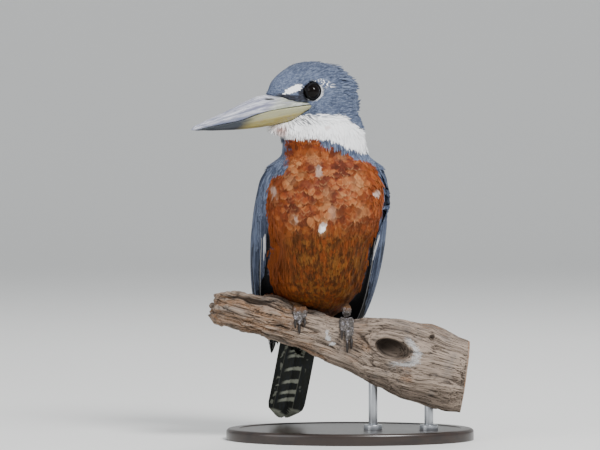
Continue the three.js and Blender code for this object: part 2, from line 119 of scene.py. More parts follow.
class PlumageSettings(bpy.types.PropertyGroup):
    """Depth and colours of the coat."""

    head_depth: distance("Head coat", "Depth of the coat over the head's skin", 0.8)
    body_depth: distance("Body coat", "Depth of the coat over the body's skin", 2.0)
    wing_depth: distance("Wing coat", "Depth of the feathers over a wing's skin", 2.6)
    slate: colour("Slate", "Blue-grey of the head, back and wings", "#4d576e")
    slate_dark: colour("Dark slate", "Shaft streaks of the slate feathers", "#222937")
    slate_pale: colour("Pale slate", "Edges of the slate feathers", "#7d889d")
    white: colour("White", "Collar, spots and bars", "#ffffff")
    rufous: colour("Rufous", "Upper breast", "#793420")
    rufous_dark: colour("Dark rufous", "Shaded and streaked rufous", "#351704")
    orange: colour("Orange", "Bright rufous of the flanks", "#954512")
    belly: colour("Belly", "Brown rufous of the belly", "#492605")
    buff: colour("Buff", "Pale mottling of the breast", "#b88a5e")
    loral: colour("Loral", "Brown black in front of the eye", "#17120f")
    golden: colour("Golden", "Golden brown mottling of the belly", "#83541d")
    black: colour("Black", "Primaries and tail", "#131417")
    olive_black: colour("Olive black", "Ground of the tail", "#191b15")
    tail_pale: colour("Tail bars", "Pale bars and tip of the tail", "#a5a898")


class HornSettings(bpy.types.PropertyGroup):
    """Colours of the bill, eyes, feet and claws."""

    upper: colour("Upper bill", "Pale grey of the upper half", "#a8a8b3")
    pale: colour("Worn horn", "Palest streaks of the bill", "#d0d2d3")
    lilac: colour("Lilac", "Lilac streaks at the base of the bill", "#7d7a92")
    upper_dark: colour("Upper bill streaks", "Slate streaks along the upper half", "#59617a")
    base: colour("Bill base", "Greenish cream at the base", "#9da086")
    lower: colour("Lower bill", "Cream yellow of the lower half's base", "#8b7c3a")
    lower_dark: colour("Lower bill front", "Slate of the lower half's front", "#2c3138")
    iris: colour("Iris", "Dark brown of the eye", "#0d0705")
    # Also the painted shade inside the nostrils' slits.
    lid: colour("Lid", "Bare skin round the eye", "#08080a")
    foot: colour("Foot", "Scaly skin of the feet", "#6c6560")
    claw: colour("Claw", "Dark horn of the claws", "#231f1e")


class PerchSettings(bpy.types.PropertyGroup):
    """Colours of the driftwood and the stand."""

    wood: colour("Weathered wood", "Grey brown of the outside", "#75685d")
    # Also the painted highlight on the driftwood's raised ridges.
    pale: colour("Pale grain", "Raised and bleached grain", "#a49384")
    ochre: colour("Ochre grain", "Warmer wood where the outside has worn away", "#8d6849")
    # Also the painted shade in the driftwood's furrows and inside its knot hole and small hole.
    crack_and_shade: colour("Cracks", "Dark of the cracks and the knot hole", "#1d1611")
    grey: colour("Grey", "Silver-grey patches", "#6a6663")
    bleached: colour("Bleached", "White rim of the knot and droppings", "#c3c6c8")
    plinth: colour("Plinth", "Dark stained wood of the base", "#2d1f17")
    steel: colour("Steel", "Rods and collars", "#b9bcc0")


class StageSettings(bpy.types.PropertyGroup):
    """Floor, light and camera."""

    floor: colour("Floor", "Pale floor and backdrop", "#ebebe8")
    key: power("Key light", "Power of the main light", 46)
    fill: power("Fill light", "Power of the fill light", 12)
    back: power("Back light", "Power of the light behind", 14)
    sky: FloatProperty(name="Sky", description="Strength of the light all round", default=0.65, min=0)


def settings(group):
    return getattr(bpy.context.scene, "kingfisher_" + group)


# ---- Materials ------------------------------------------------------------------------------------

class Value:
    """A socket of a material. Arithmetic on it adds Math nodes."""

    def __init__(self, finish, socket):
        self.finish = finish
        self.socket = socket

    def math(self, operation, *terms):
        return self.finish.node("ShaderNodeMath", {"operation": operation}, dict(enumerate(terms)))

    def __add__(self, other):
        return self.math("ADD", self, other)

    def __sub__(self, other):
        return self.math("SUBTRACT", self, other)

    def __rsub__(self, other):
        return self.math("SUBTRACT", other, self)

    def __mul__(self, other):
        return self.math("MULTIPLY", self, other)

    def __truediv__(self, other):
        return self.math("DIVIDE", self, other)

    def __neg__(self):
        return self.math("MULTIPLY", self, -1)

    def __abs__(self):
        return self.math("ABSOLUTE", self)

    __radd__ = __add__
    __rmul__ = __mul__


class Finish:
    """A material, built node by node."""

    def __init__(self, name):
        self.material = bpy.data.materials.new(name)
        self.material.use_nodes = True
        self.tree = self.material.node_tree
        self.tree.nodes.clear()

    def node(self, kind, options=None, inputs=None, output=0):
        """One node with its settings, then its sockets' values or links. Returns one of its outputs."""
        made = self.tree.nodes.new(kind)
        for key, value in (options or {}).items():
            setattr(made, key, value)
        for key, value in (inputs or {}).items():
            socket = made.inputs[key]
            if isinstance(value, Value):
                self.tree.links.new(value.socket, socket)
            elif socket.type == "RGBA":
                socket.default_value = (*value[:3], 1)
            else:
                socket.default_value = value
        return Value(self, made.outputs[output])

    def mix(self, factor, first, second):
        return self.node("ShaderNodeMix", {"data_type": "RGBA"}, {0: factor, 6: first, 7: second}, 2)

    def noise(self, place, scale, detail=2, roughness=0.5, output=0):
        inputs = {"Vector": place, "Scale": scale, "Detail": detail, "Roughness": roughness}
        return self.node("ShaderNodeTexNoise", {}, inputs, output)

    def object_place(self):
        return self.node("ShaderNodeTexCoord", {}, {}, "Object")

    def attribute(self, name, output="Fac"):
        return self.node("ShaderNodeAttribute", {"attribute_name": name}, {}, output)

    def vector(self, operation, first, second, output=0):
        return self.node("ShaderNodeVectorMath", {"operation": operation}, {0: first, 1: second}, output)

    def millimetres(self, place):
        return self.vector("MULTIPLY", place, (1 / MM,) * 3)

    def split(self, vector):
        first = self.node("ShaderNodeSeparateXYZ", {}, {0: vector})
        return [Value(self, socket) for socket in first.socket.node.outputs]

    def head_place(self, point):
        """How far a point in millimetres is to the left of, above and in front of the gape."""
        offset = self.vector("SUBTRACT", point, tuple(GAPE / MM))
        return [self.vector("DOT_PRODUCT", offset, tuple(axis), 1) for axis in (LEFTWARD, UPWARD, FORWARD)]

    def vane(self):
        """Place on a feather: across from 0 to 1, and along from root to tip."""
        return self.split(self.node("ShaderNodeUVMap", {"uv_map": "Vane"}))[:2]

    def bump(self, height, depth, strength):
        return self.node("ShaderNodeBump", {}, {"Height": height, "Distance": depth, "Strength": strength})

    def surface(self, inputs):
        shader = self.node("ShaderNodeBsdfPrincipled", {}, inputs)
        end = self.tree.nodes.new("ShaderNodeOutputMaterial")
        self.tree.links.new(shader.socket, end.inputs["Surface"])
        return self.material


def step(value, low, high):
    """0 at low, 1 at high and smooth between them, on an array of numbers or on a material's socket."""
    if isinstance(value, Value):
        limits = {"Value": value, "From Min": low, "From Max": high}
        return value.finish.node("ShaderNodeMapRange", {"interpolation_type": "SMOOTHSTEP"}, limits)
    share = np.clip((value - low) / (high - low), 0, 1)
    return share * share * (3 - 2 * share)


def bell(value, width):
    """1 at 0, falling smoothly to about a third at "width" on both sides, on numbers."""
    return np.exp(-((value / width) ** 2))


def spot(x, z, centre, half, edge):
    """1 inside an ellipse of half-sizes "half" about a centre, fading over its rim by "edge"."""
    off = [(value - middle) / size for value, middle, size in zip((x, z), centre, half)]
    return 1 - step(off[0] * off[0] + off[1] * off[1], 1 - edge, 1 + edge)


def root_of(value):
    return value.math("SQRT", value) if isinstance(value, Value) else np.sqrt(value)


def at_most_one(value):
    return value.math("MINIMUM", value, 1.0)


def wave(value):
    return value.math("COSINE", value)


def power_of_e(value):
    return value.math("EXPONENT", value) if isinstance(value, Value) else np.exp(value)


# ---- Markings, shared by skin and coat ------------------------------------------------------------

PALE_SPOTS = (  # (x, z), half-sizes and whiteness on the front of the body
    ((-6, 170), (2.4, 4.0), 0.9), ((-27, 177), (2.0, 3.6), 0.16), ((-44, 197), (2.0, 4.6), 0.22),
    ((36, 196), (2.0, 2.6), 0.3), ((-9, 214), (2.0, 4.6), 0.2), ((-15, 223), (3.0, 4.0), 0.0),
    ((-3, 194), (2.4, 5.0), 0.0), ((2, 181), (3.0, 4.4), 0.05), ((25, 182), (3.0, 4.4), 0.0),
    ((20, 203), (3.0, 4.0), 0.0), ((8, 224), (2.4, 2.6), 0.0), ((-31, 205), (2.6, 3.0), 0.0),
)
RUSTY_SPOTS = (  # (x, z), half-sizes, fading and strength on the chin and collar
    ((-38, 243.5), (4.5, 3.0), 0.9, 0.5), ((-2, 247), (2.4, 1.6), 0.8, 0.35),
    ((-40, 247), (8, 3), 0.9, 0.25),
)
WISPS = ((-20, 253), (11, 4.6))  # (x, z) and half-sizes of the dark wisps under the cheek
FLECKS = ((-9.5, 15.3), (8.0, 3.2))  # (forward, up) and half-sizes of the white flecks behind the eye
COLLAR_TOP, COLLAR_FOOT = 256.5, 238  # heights on the bird's right side of the front


def collar_top(x, y):
    """Height where the white collar ends under the slate of the head, lower to the left and behind."""
    leftwards = step(x, 9, 27)
    return COLLAR_TOP - 12 * leftwards - 9 * step(y, 0, 16) * (1 - leftwards)


def collar_foot(x, y):
    """Height where the white collar begins over the breast and the back, lower in the same way."""
    leftwards = step(x, -8, 32)
    return COLLAR_FOOT - 12 * leftwards - 11 * step(y, -4, 18) * (1 - leftwards)


def slate_body(x, y, z):
    """1 where the body below the collar is slate: the band under it, the shoulders and the back."""
    band = step(x, -8.5, -6.5) * step(z - collar_foot(x, y), -6.6, -5.2)
    left = step(x - 31 - 16 * (1 - step(z, 206, 222)), -1, 1)
    right = 1 - step(x + 34.5 + 20 * (1 - step(z, 205, 212)), -1, 1)
    back = step(y - 6 - 0.3 * (200 - z), -3, 3)
    clear = (1 - band) * (1 - left * step(z, 196, 200)) * (1 - right) * (1 - back)
    return 1 - clear


def rufous_colour(finish, point, shade, across, along):
    """Scaly, mottled upper breast that turns into a darker, streaked belly with bright flanks."""
    tint = settings("plumage")
    x, y, z = finish.split(point)
    # Two sizes of mottling, warped, and two of streaks, then how far a place is on the flanks and the belly.
    swirl = finish.vector("SUBTRACT", finish.noise(point, 0.16, 2, 0.6, 1), (0.5, 0.5, 0.5))
    warped = finish.vector("ADD", point, finish.vector("MULTIPLY", swirl, (13, 13, 16)))
    mottle = finish.noise(warped, 0.1, 2, 0.5)
    small = finish.noise(finish.vector("MULTIPLY", warped, (1, 1, 0.7)), 0.24, 3, 0.55)
    streak = finish.noise(finish.vector("MULTIPLY", point, (1, 1, 0.2)), 0.3, 3, 0.6)
    fine = finish.noise(finish.vector("MULTIPLY", point, (1, 1, 0.12)), 1.0, 2, 0.6)
    flank = step(abs(x + 5 + 0.08 * (z - 200)), 24, 42)
    belly = 1 - step(z + 18 * (mottle - 0.5), 156, 184)

    upper = finish.mix(step(mottle, 0.4, 0.62), tint.rufous, tint.orange)
    upper = finish.mix(step(1 - small, 0.48, 0.68) * 0.45, upper, tint.rufous_dark)
    upper = finish.mix(step(1 - mottle, 0.47, 0.66) * 0.5, upper, tint.rufous_dark)
    pale = step(small * 0.4 + mottle * 0.6 + (shade - 0.5) * 0.08, 0.47, 0.7)
    pale = pale * step(z, 160, 182) * (1 - step(z, 214, 234))
    upper = finish.mix(pale * (1 - flank * 0.6) * 0.62, upper, tint.buff)
    upper = finish.mix(flank * 0.45, upper, tint.orange)
    lower = finish.mix(step(streak, 0.42, 0.66) * 0.5, tint.belly, tint.orange)
    dark = step(1 - streak + (mottle - 0.5) * 0.8, 0.46, 0.74) * (0.55 - flank * 0.4)
    lower = finish.mix(dark, lower, tint.rufous_dark)
    golden = step(small * 0.5 + mottle * 0.5, 0.47, 0.6) * (1 - flank) * 0.6
    lower = finish.mix(golden, lower, tint.golden)
    lower = finish.mix(flank * 0.35, lower, tint.orange)
    colour_here = finish.mix(belly, upper, lower)
    colour_here = finish.mix(step(fine, 0.5, 0.68) * 0.12, colour_here, tint.orange)
    colour_here = finish.mix(step(1 - fine, 0.5, 0.68) * 0.12, colour_here, tint.rufous_dark)
    wavy = finish.vector("ADD", point, finish.vector("MULTIPLY", swirl, (9, 9, 9)))
    wavy_x, _, wavy_z = finish.split(wavy)
    front = 1 - step(y, -4, 6)
    for centre, half, whiteness in PALE_SPOTS:
        reach = (half[0] * 1.6, half[1] * 1.4)
        halo = spot(wavy_x, wavy_z, centre, reach, 0.95) * front * (0.3 + whiteness * 0.4)
        colour_here = finish.mix(halo, colour_here, tint.buff)
        if whiteness:
            core = spot(wavy_x, wavy_z, centre, half, 0.95) * front
            colour_here = finish.mix(core * whiteness * 0.9, colour_here, tint.white)
    rim = step(along + 0.5 * abs(across - 0.5), 0.74, 0.98)
    scaly = (1 - belly) * (1 - flank * 0.6)
    shaded = (1 - rim) * (1 - step(shade, 0.1, 0.8)) * 0.5 * scaly
    colour_here = finish.mix(shaded, colour_here, tint.rufous_dark)
    return finish.mix(rim * step(shade, 0.25, 0.8) * 0.5 * scaly, colour_here, tint.buff)


def slate_colour(finish, shade, length_way, fineness, contrast):
    """Blue-grey with pale and dark streaks that run along length_way."""
    tint = settings("plumage")
    streak = finish.noise(length_way, fineness, 3, 0.65)
    slate = finish.mix(step(streak + shade * 0.16, 0.5, 0.74) * contrast, tint.slate, tint.slate_pale)
    slate = finish.mix(step(1 - streak, 0.52, 0.7) * contrast * 0.75, slate, tint.slate_dark)
    slate = finish.mix((1 - step(shade, 0.02, 0.3)) * contrast * 0.4, slate, tint.slate_dark)
    return finish.mix(step(shade, 0.75, 1.0) * contrast * 0.25, slate, tint.slate_pale)


def face_colour(finish, head, head_way, shade, left, up, forward):
    """The slate of the head with its marks: white rim, lore and flecks, and the dark band to the bill."""
    tint = settings("plumage")
    beside = step(abs(left), 5, 8)
    streaks = finish.noise(head_way, 0.55, 3, 0.7) - 0.5
    over_eye = up - EYE_UP
    from_eye = root_of(forward * forward + over_eye * over_eye)
    rim = step(from_eye, 6.0, 6.6) * (1 - step(from_eye + streaks * 2, 7.0, 8.2))
    rim = rim * (1 - step(over_eye + forward * 0.75, -3.5, 0.5)) * 0.6
    along_lore = (forward - 14.5) / 7.5
    off_lore = (up - 14.6 + 0.2 * (forward - 15)) / (3.8 - 0.08 * forward)
    from_lore = along_lore * along_lore + off_lore * off_lore
    lore = 1 - step(from_lore + streaks * 2 + (shade - 0.5) * 1.1, 0.8, 1.0)
    fleck = spot(forward, up - 0.35 * (forward + 10), *FLECKS, 0.7)
    fleck = fleck * step(shade, 0.56, 0.6) * 0.9
    band = 1 - step(abs(up - 3.6 - 0.31 * forward + streaks * 2), 1.7, 3.0)
    band = band * step(forward, 3, 6) * (1 - step(forward, 37, 41))
    band = at_most_one(band + spot(forward, over_eye, (8.0, 0), (3.2, 4.5), 0.6))
    head = finish.mix(band * beside * (0.85 - step(-streaks, 0.0, 0.15) * 0.25), head, tint.loral)
    return finish.mix(at_most_one(lore + fleck + rim) * beside, head, tint.white)


def plumage_colour(finish, place, shade, across, along, wing):
    """Colour of the skin or coat at a place. Shade is a feather's own number from 0 to 1."""
    tint = settings("plumage")
    point = finish.millimetres(place)
    x, y, z = finish.split(point)
    left, up, forward = finish.head_place(point)
    ragged = z + (shade - 0.5) * 3.0
    aside = x + (finish.noise(point, 0.25, 2, 0.6) - 0.5) * 14 + (shade - 0.5) * 3

    head_way = {0: left * 1.3, 1: up * 1.3 + forward * 0.2, 2: forward * 0.2}
    head_way = finish.node("ShaderNodeCombineXYZ", {}, head_way)
    slate = slate_colour(finish, shade, finish.vector("MULTIPLY", point, (1.1, 1.1, 0.14)), 0.75, 0.7)
    head = slate_colour(finish, shade, head_way, 1.0, 0.6)
    head = face_colour(finish, head, head_way, shade, left, up, forward)
    rufous = rufous_colour(finish, point, shade, across, along)
    body = finish.mix(slate_body(aside, y, ragged), rufous, slate)
    # The vent, behind and below, is barred like the root of the tail.
    barred = step(finish.noise(finish.vector("MULTIPLY", point, (0.6, 1, 1.6)), 0.16, 3, 0.6), 0.46, 0.54)
    vent_tint = finish.mix(barred, tint.olive_black, tint.tail_pale)
    body = finish.mix(step(y, 42, 50) * (1 - step(z, 86, 94)), body, vent_tint)

    rusty = sum(spot(x, z, centre, half, edge) * strength for centre, half, edge, strength in RUSTY_SPOTS)
    white = finish.mix(rusty, tint.white, tint.orange)
    wisp_way = finish.node("ShaderNodeCombineXYZ", {}, {0: x * 0.12 - z * 0.09, 1: x * 0.7 + z * 0.9})
    wisps = step(finish.noise(wisp_way, 0.75, 2, 0.6), 0.48, 0.58)
    wisps = wisps * spot(x, z, *WISPS, 0.6) * (1 - step(y, 0, 10))
    white = finish.mix(wisps * 0.85, white, tint.slate_dark)
    white = finish.mix((1 - step(shade, 0.0, 0.4)) * 0.08, white, tint.slate_pale)

    collar = step(ragged - collar_foot(x, y), -0.8, 0.8)
    crown = step(ragged - collar_top(x, y), -0.8, 0.8)
    body = finish.mix(wing, finish.mix(collar, body, white), slate)
    return finish.mix(crown, body, head)


def plumage_material(name, on_feathers):
    finish = Finish(name)
    if on_feathers:
        across, along = finish.vane()
        shade = finish.attribute("shade")
        place = finish.attribute("mark", "Vector")
        normal = finish.bump(wave(across * 40 + along * 9), 0.08 * MM, 0.25)
    else:
        place = finish.object_place()
        shade = finish.noise(place, 700, 1) * 1.4 - 0.2
        across, along = 0.5, shade
        normal = finish.bump(finish.noise(place, 900, 3), 0.6 * MM, 0.6)
    wing = finish.attribute("wing")
    base = plumage_colour(finish, place, shade, across, along, wing)
    if not on_feathers:
        z = finish.split(finish.millimetres(place))[2]
        base = finish.mix(wing * (1 - step(z, 160, 178)), base, settings("plumage").black)
    inputs = {"Base Color": base, "Roughness": 0.75, "Normal": normal, "Specular IOR Level": 0.2}
    return finish.surface(inputs)


# ---- Mesh helpers ---------------------------------------------------------------------------------

def new_piece(name, mesh, material, replaced=()):
    """Links a finished mesh as a piece that rides on the body."""
    piece = bpy.data.objects.new(name, mesh)
    bpy.context.scene.collection.objects.link(piece)
    mesh.materials.clear()
    mesh.materials.append(material)
    if not mesh.has_custom_normals:
        mesh.shade_smooth()
    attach(piece, "root")
    if replaced:
        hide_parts(*replaced)
    return piece


def mesh_of(shape, name):
    mesh = bpy.data.meshes.new(name)
    shape.to_mesh(mesh)
    shape.free()
    return mesh


def solid_copy(nodes, grow=0.0):
    """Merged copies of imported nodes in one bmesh, thickened by "grow" all over."""
    shape = bmesh.new()
    for name in nodes:
        shape.from_mesh(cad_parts[name].data)
    bmesh.ops.remove_doubles(shape, verts=shape.verts, dist=1e-6)
    shape.normal_update()
    for vertex in shape.verts:
        vertex.co += vertex.normal * grow
    return shape


def modified(mesh, *steps):
    """The mesh after modifiers, each given as its kind and its settings."""
    holder = bpy.data.objects.new("holder", mesh)
    bpy.context.scene.collection.objects.link(holder)
    for kind, values in steps:
        modifier = holder.modifiers.new(kind, kind)
        for key, value in values.items():
            setattr(modifier, key, value)
    graph = bpy.context.evaluated_depsgraph_get()
    result = bpy.data.meshes.new_from_object(holder.evaluated_get(graph))
    bpy.data.objects.remove(holder)
    return result


def remeshed(nodes, grow, voxel, smooth, name, keep_all=False):
    """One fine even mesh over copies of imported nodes. Only its largest part stays, unless all are kept."""
    mesh = modified(
        mesh_of(solid_copy(nodes, grow), name),
        ("REMESH", {"mode": "VOXEL", "voxel_size": voxel}),
        ("SMOOTH", {"factor": 0.5, "iterations": smooth}),
    )
    return mesh if keep_all else largest_island(mesh)


def largest_island(mesh):
    shape = bmesh.new()
    shape.from_mesh(mesh)
    unseen = set(shape.verts)
    best = set()
    while unseen:
        island = {unseen.pop()}
        edge_of = list(island)
        while edge_of:
            near = {edge.other_vert(vertex) for vertex in edge_of for edge in vertex.link_edges}
            edge_of = list(near & unseen)
            unseen -= near
            island.update(edge_of)
        if len(island) > len(best):
            best = island
    bmesh.ops.delete(shape, geom=[v for v in shape.verts if v not in best], context="VERTS")
    shape.to_mesh(mesh)
    shape.free()
    return mesh


def places(mesh):
    found = np.empty(len(mesh.vertices) * 3)
    mesh.vertices.foreach_get("co", found)
    return found.reshape(-1, 3)


def normals(mesh):
    found = np.empty(len(mesh.vertices) * 3)
    mesh.vertex_normals.foreach_get("vector", found)
    return found.reshape(-1, 3)


def set_places(mesh, points):
    mesh.vertices.foreach_set("co", np.asarray(points, np.float32).ravel())
    mesh.update()


def set_attribute(mesh, name, values, kind="FLOAT"):
    attribute = mesh.attributes.new(name, kind, "POINT")
    field = "value" if kind == "FLOAT" else "vector"
    attribute.data.foreach_set(field, np.asarray(values, np.float32).ravel())


def unit(vectors):
    return vectors / np.maximum(np.linalg.norm(vectors, axis=-1, keepdims=True), 1e-9)


def head_places(points):
    """Left, up and forward of the gape, in millimetres, of points in metres."""
    offset = (points - np.array(GAPE)) / MM
    return [offset @ np.array(axis) for axis in (LEFTWARD, UPWARD, FORWARD)]


def noises(points, seed):
    shift = Vector((seed * 7.3, seed * 3.1, -seed * 5.7))
    return np.array([noise.noise(Vector(point) + shift) for point in points])


def vertices_in(geometry):
    return [item for item in geometry if isinstance(item, bmesh.types.BMVert)]


def tree_of(nodes):
    shape = solid_copy(nodes)
    tree = BVHTree.FromBMesh(shape)
    shape.free()
    return tree


def distances(tree, points):
    return np.array([tree.find_nearest(Vector(point))[3] for point in points])


# ---- Feathers -------------------------------------------------------------------------------------

class Template:
    """A small feather, one unit long and one wide: a fan of narrow locks that end in points."""

    ROWS = (0.0, 0.42, 0.76, 1.0)
    ARCH = 0.25

    def __init__(self, locks, seed):
        random = np.random.default_rng(SEED + seed)
        shape = bmesh.new()
        for lock in range(locks):
            aside = 0.0 if locks == 1 else 2 * lock / (locks - 1) - 1
            reach = (1 - 0.24 * aside * aside) * random.uniform(0.9, 1.0)
            half = 0.5 if locks == 1 else 0.8 / locks
            roll = random.uniform(-0.08, 0.08)
            grid = bmesh.ops.create_grid(shape, x_segments=1, y_segments=3, size=0.5)["verts"]
            for vertex in grid:
                row = min(3, max(0, round((vertex.co.y + 0.5) * 3)))
                along = self.ROWS[row]
                edge = math.copysign(half, vertex.co.x) * (0.0 if row == 3 else 1 - 0.25 * (row == 0))
                opened = 0.3 + 0.7 * math.sin(min(along, 0.8) / 0.8 * math.pi / 2)
                x = aside * (0.5 - half * 0.5) * opened + edge
                vertex.co = (x, along * reach, -self.ARCH * x * x + roll * edge / half * 0.5)
        bmesh.ops.remove_doubles(shape, verts=shape.verts, dist=1e-5)
        bmesh.ops.triangulate(shape, faces=shape.faces)
        self.points = np.array([vertex.co[:] for vertex in shape.verts])
        self.faces = np.array([[vertex.index for vertex in face.verts] for face in shape.faces])
        shape.free()
        self.vane = np.stack([self.points[:, 0] + 0.5, self.points[:, 1]], axis=1)


class Coat:
    """Feathers gathered as arrays, and made one piece at the end."""

    def __init__(self):
        self.parts = []
        self.count = 0

    def add(self, points, faces, vane, bake, mark, facing, shade, wing):
        """Feathers of one shape. All arrays start with one row for each feather, apart from the faces."""
        feathers, corners = points.shape[:2]
        offsets = self.count + corners * np.arange(feathers)
        self.parts.append({
            "points": points.reshape(-1, 3),
            "faces": (faces[None] + offsets[:, None, None]).reshape(-1, 3),
            "vane": np.broadcast_to(vane, (feathers, corners, 2)).reshape(-1, 2),
            "bake": bake.reshape(-1, 2),
            "mark": mark.reshape(-1, 3),
            "facing": facing.reshape(-1, 3),
            "shade": np.repeat(shade, corners),
            "wing": np.repeat(wing, corners),
        })
        self.count += feathers * corners

    def build(self, name):
        whole = {key: np.concatenate([part[key] for part in self.parts]) for key in self.parts[0]}
        faces = whole["faces"].astype(np.int32)
        mesh = bpy.data.meshes.new(name)
        mesh.vertices.add(len(whole["points"]))
        mesh.loops.add(faces.size)
        mesh.polygons.add(len(faces))
        mesh.vertices.foreach_set("co", whole["points"].astype(np.float32).ravel())
        mesh.loops.foreach_set("vertex_index", faces.ravel())
        mesh.polygons.foreach_set("loop_start", np.arange(0, faces.size, 3, dtype=np.int32))
        for layer, key in (("OFBake", "bake"), ("Vane", "vane")):
            flat = mesh.uv_layers.new(name=layer)
            flat.data.foreach_set("uv", whole[key][faces.ravel()].astype(np.float32).ravel())
        set_attribute(mesh, "mark", whole["mark"], "FLOAT_VECTOR")
        set_attribute(mesh, "shade", whole["shade"])
        set_attribute(mesh, "wing", whole["wing"])
        mesh.update(calc_edges=True)
        mesh.shade_smooth()
        mesh.normals_split_custom_set_from_vertices(unit(whole["facing"]))
        return mesh


def unwrapped(points):
    """Place of each point on an unwrap of the skin: round the head's axis on it, round the body's below."""
    x, y, z = (points / MM).T
    left, up, forward = head_places(points)
    on_head = z > collar_top(x, y)
    turn = np.where(on_head, np.arctan2(left, up), np.arctan2(x - BODY_MIDDLE, 8 - y))
    body_rise = 0.02 + 0.62 * (z - 60) / 200  # the body fills the lower two thirds of the map
    head_rise = 0.68 + 0.30 * (forward + 50) / 90
    rise = np.clip(np.where(on_head, head_rise, body_rise), 0.01, 0.99)
    return np.stack([0.5 + 0.48 * turn / math.pi, rise], 1)


def lie_of_coat(points, up, wing):
    """Which way the coat lies at each point: back from the bill, down the body and along the wings."""
    x, y, z = (points / MM).T
    on_head = step(z - collar_top(x, y), -9, 3)[:, None]
    behind = step(y, 10, 40)[:, None]
    left = head_places(points)[0]
    head = -np.array(FORWARD) - 0.22 * np.array(UPWARD) * step(abs(left), 6, 20)[:, None]
    front = np.stack([0.004 * (x + 4), 0 * x, -np.ones_like(x)], 1)
    back = np.array([-0.06, 0.32, -0.94])
    body = front * (1 - behind) + back * behind
    body = body * (1 - wing[:, None]) + np.array([0, 0.36, -0.93]) * wing[:, None]
    flow = head * on_head + body * (1 - on_head)
    flow = flow - up * (flow * up).sum(1, keepdims=True)
    return unit(flow)


TRIES = 3  # places tried for each square of the spacing
CLOSEST = 0.78  # of the spacing, between two feathers
ROOT_DEPTH = 0.4  # millimetres that the roots of the coat lie inside the skin
KINDS = 4  # of feather in each zone of the coat


def sow(mesh, chosen, spacing, random):
    """Even random places on the chosen faces of a mesh, "spacing" apart. Returns points and normals."""
    points, outward = places(mesh), normals(mesh)
    corners = np.array([face.vertices[:] for face in mesh.loop_triangles])[chosen]
    a, b, c = (points[corners[:, i]] for i in range(3))
    area = np.linalg.norm(np.cross(b - a, c - a), axis=1) / 2
    wanted = int(area.sum() / spacing ** 2 * TRIES)
    picked = random.choice(len(corners), wanted, p=area / area.sum())
    u, v = random.random((2, wanted))
    flip = u + v > 1
    u, v = np.where(flip, 1 - u, u), np.where(flip, 1 - v, v)
    weights = np.stack([1 - u - v, u, v], 1)[:, :, None]
    found = (points[corners[picked]] * weights).sum(1)
    up = unit((outward[corners[picked]] * weights).sum(1))
    apart = spacing * CLOSEST
    cells = np.floor(found / apart).astype(int)
    taken = {}
    kept = []
    for index, cell in enumerate(map(tuple, cells)):
        around = (
            other
            for i in (-1, 0, 1) for j in (-1, 0, 1) for k in (-1, 0, 1)
            for other in taken.get((cell[0] + i, cell[1] + j, cell[2] + k), ())
        )
        if all(((found[index] - found[other]) ** 2).sum() > apart ** 2 for other in around):
            taken.setdefault(cell, []).append(index)
            kept.append(index)
    return found[kept], up[kept]


def plant(coat, templates, points, up, wing, size, plain, random):
    """Adds a feather at each point, of a length, width, lift and curl.

    Lift is its slope at the root, and curl how far it bends back down. "plain" runs from 0, where each
    point of a feather has the markings of its own place, to 1, where all of it has those of its middle.
    """
    length, width, lift, curl = size
    count = len(points)
    along = lie_of_coat(points, up, wing)
    turn = random.normal(0, 0.12, (count, 1))
    across = unit(np.cross(along, up))
    along = unit(along + across * turn)
    across = np.cross(along, up)
    kinds = random.integers(len(templates), size=count)
    long = length * random.uniform(0.82, 1.15, count)
    wide = width * random.uniform(0.85, 1.15, count)
    rise = lift * random.uniform(0.7, 1.3, count)
    bend = curl * random.uniform(0.8, 1.2, count)
    shade = random.random(count)
    flat = unwrapped(points)
    for index, template in enumerate(templates):
        these = kinds == index
        x, y, z = (template.points[None, :, i, None] for i in range(3))
        reach, breadth, slope, drop = (
            values[these][:, None, None] for values in (long, wide, rise, bend)
        )
        root, ahead, aside, above = (values[these][:, None] for values in (points, along, across, up))
        base = root - above * ROOT_DEPTH * MM
        shape = (
            base + aside * x * breadth + ahead * y * reach
            + above * (z * breadth + reach * (slope * y - drop * y * y))
        )
        bake = flat[these][:, None] + (template.vane[None] - 0.5) * TUFT_PATCH
        middle = root + ahead * reach * 0.55
        mark = shape * (1 - plain) + middle * plain
        facing = above - 0.45 * (slope - 2 * drop * y) * ahead + 0.55 * x * aside
        coat.add(
            shape, template.faces, template.vane[None], bake, mark, facing, shade[these], wing[these],
        )


# ---- Skin -----------------------------------------------------------------------------------------

WING_SEAM = 0.0006  # half the width of the blend between body and wings
NOTCH = 4 * MM  # that the skin dips where the breast's feathers end over the right wing
CHIN_DEPTH = 0.4 * MM
BESIDE_BILL = (1.0 * MM, 3.2 * MM)  # distances from the bill over which the skin comes out to meet it
BILL_LAP = 0.5 * MM  # that it laps over the solids there


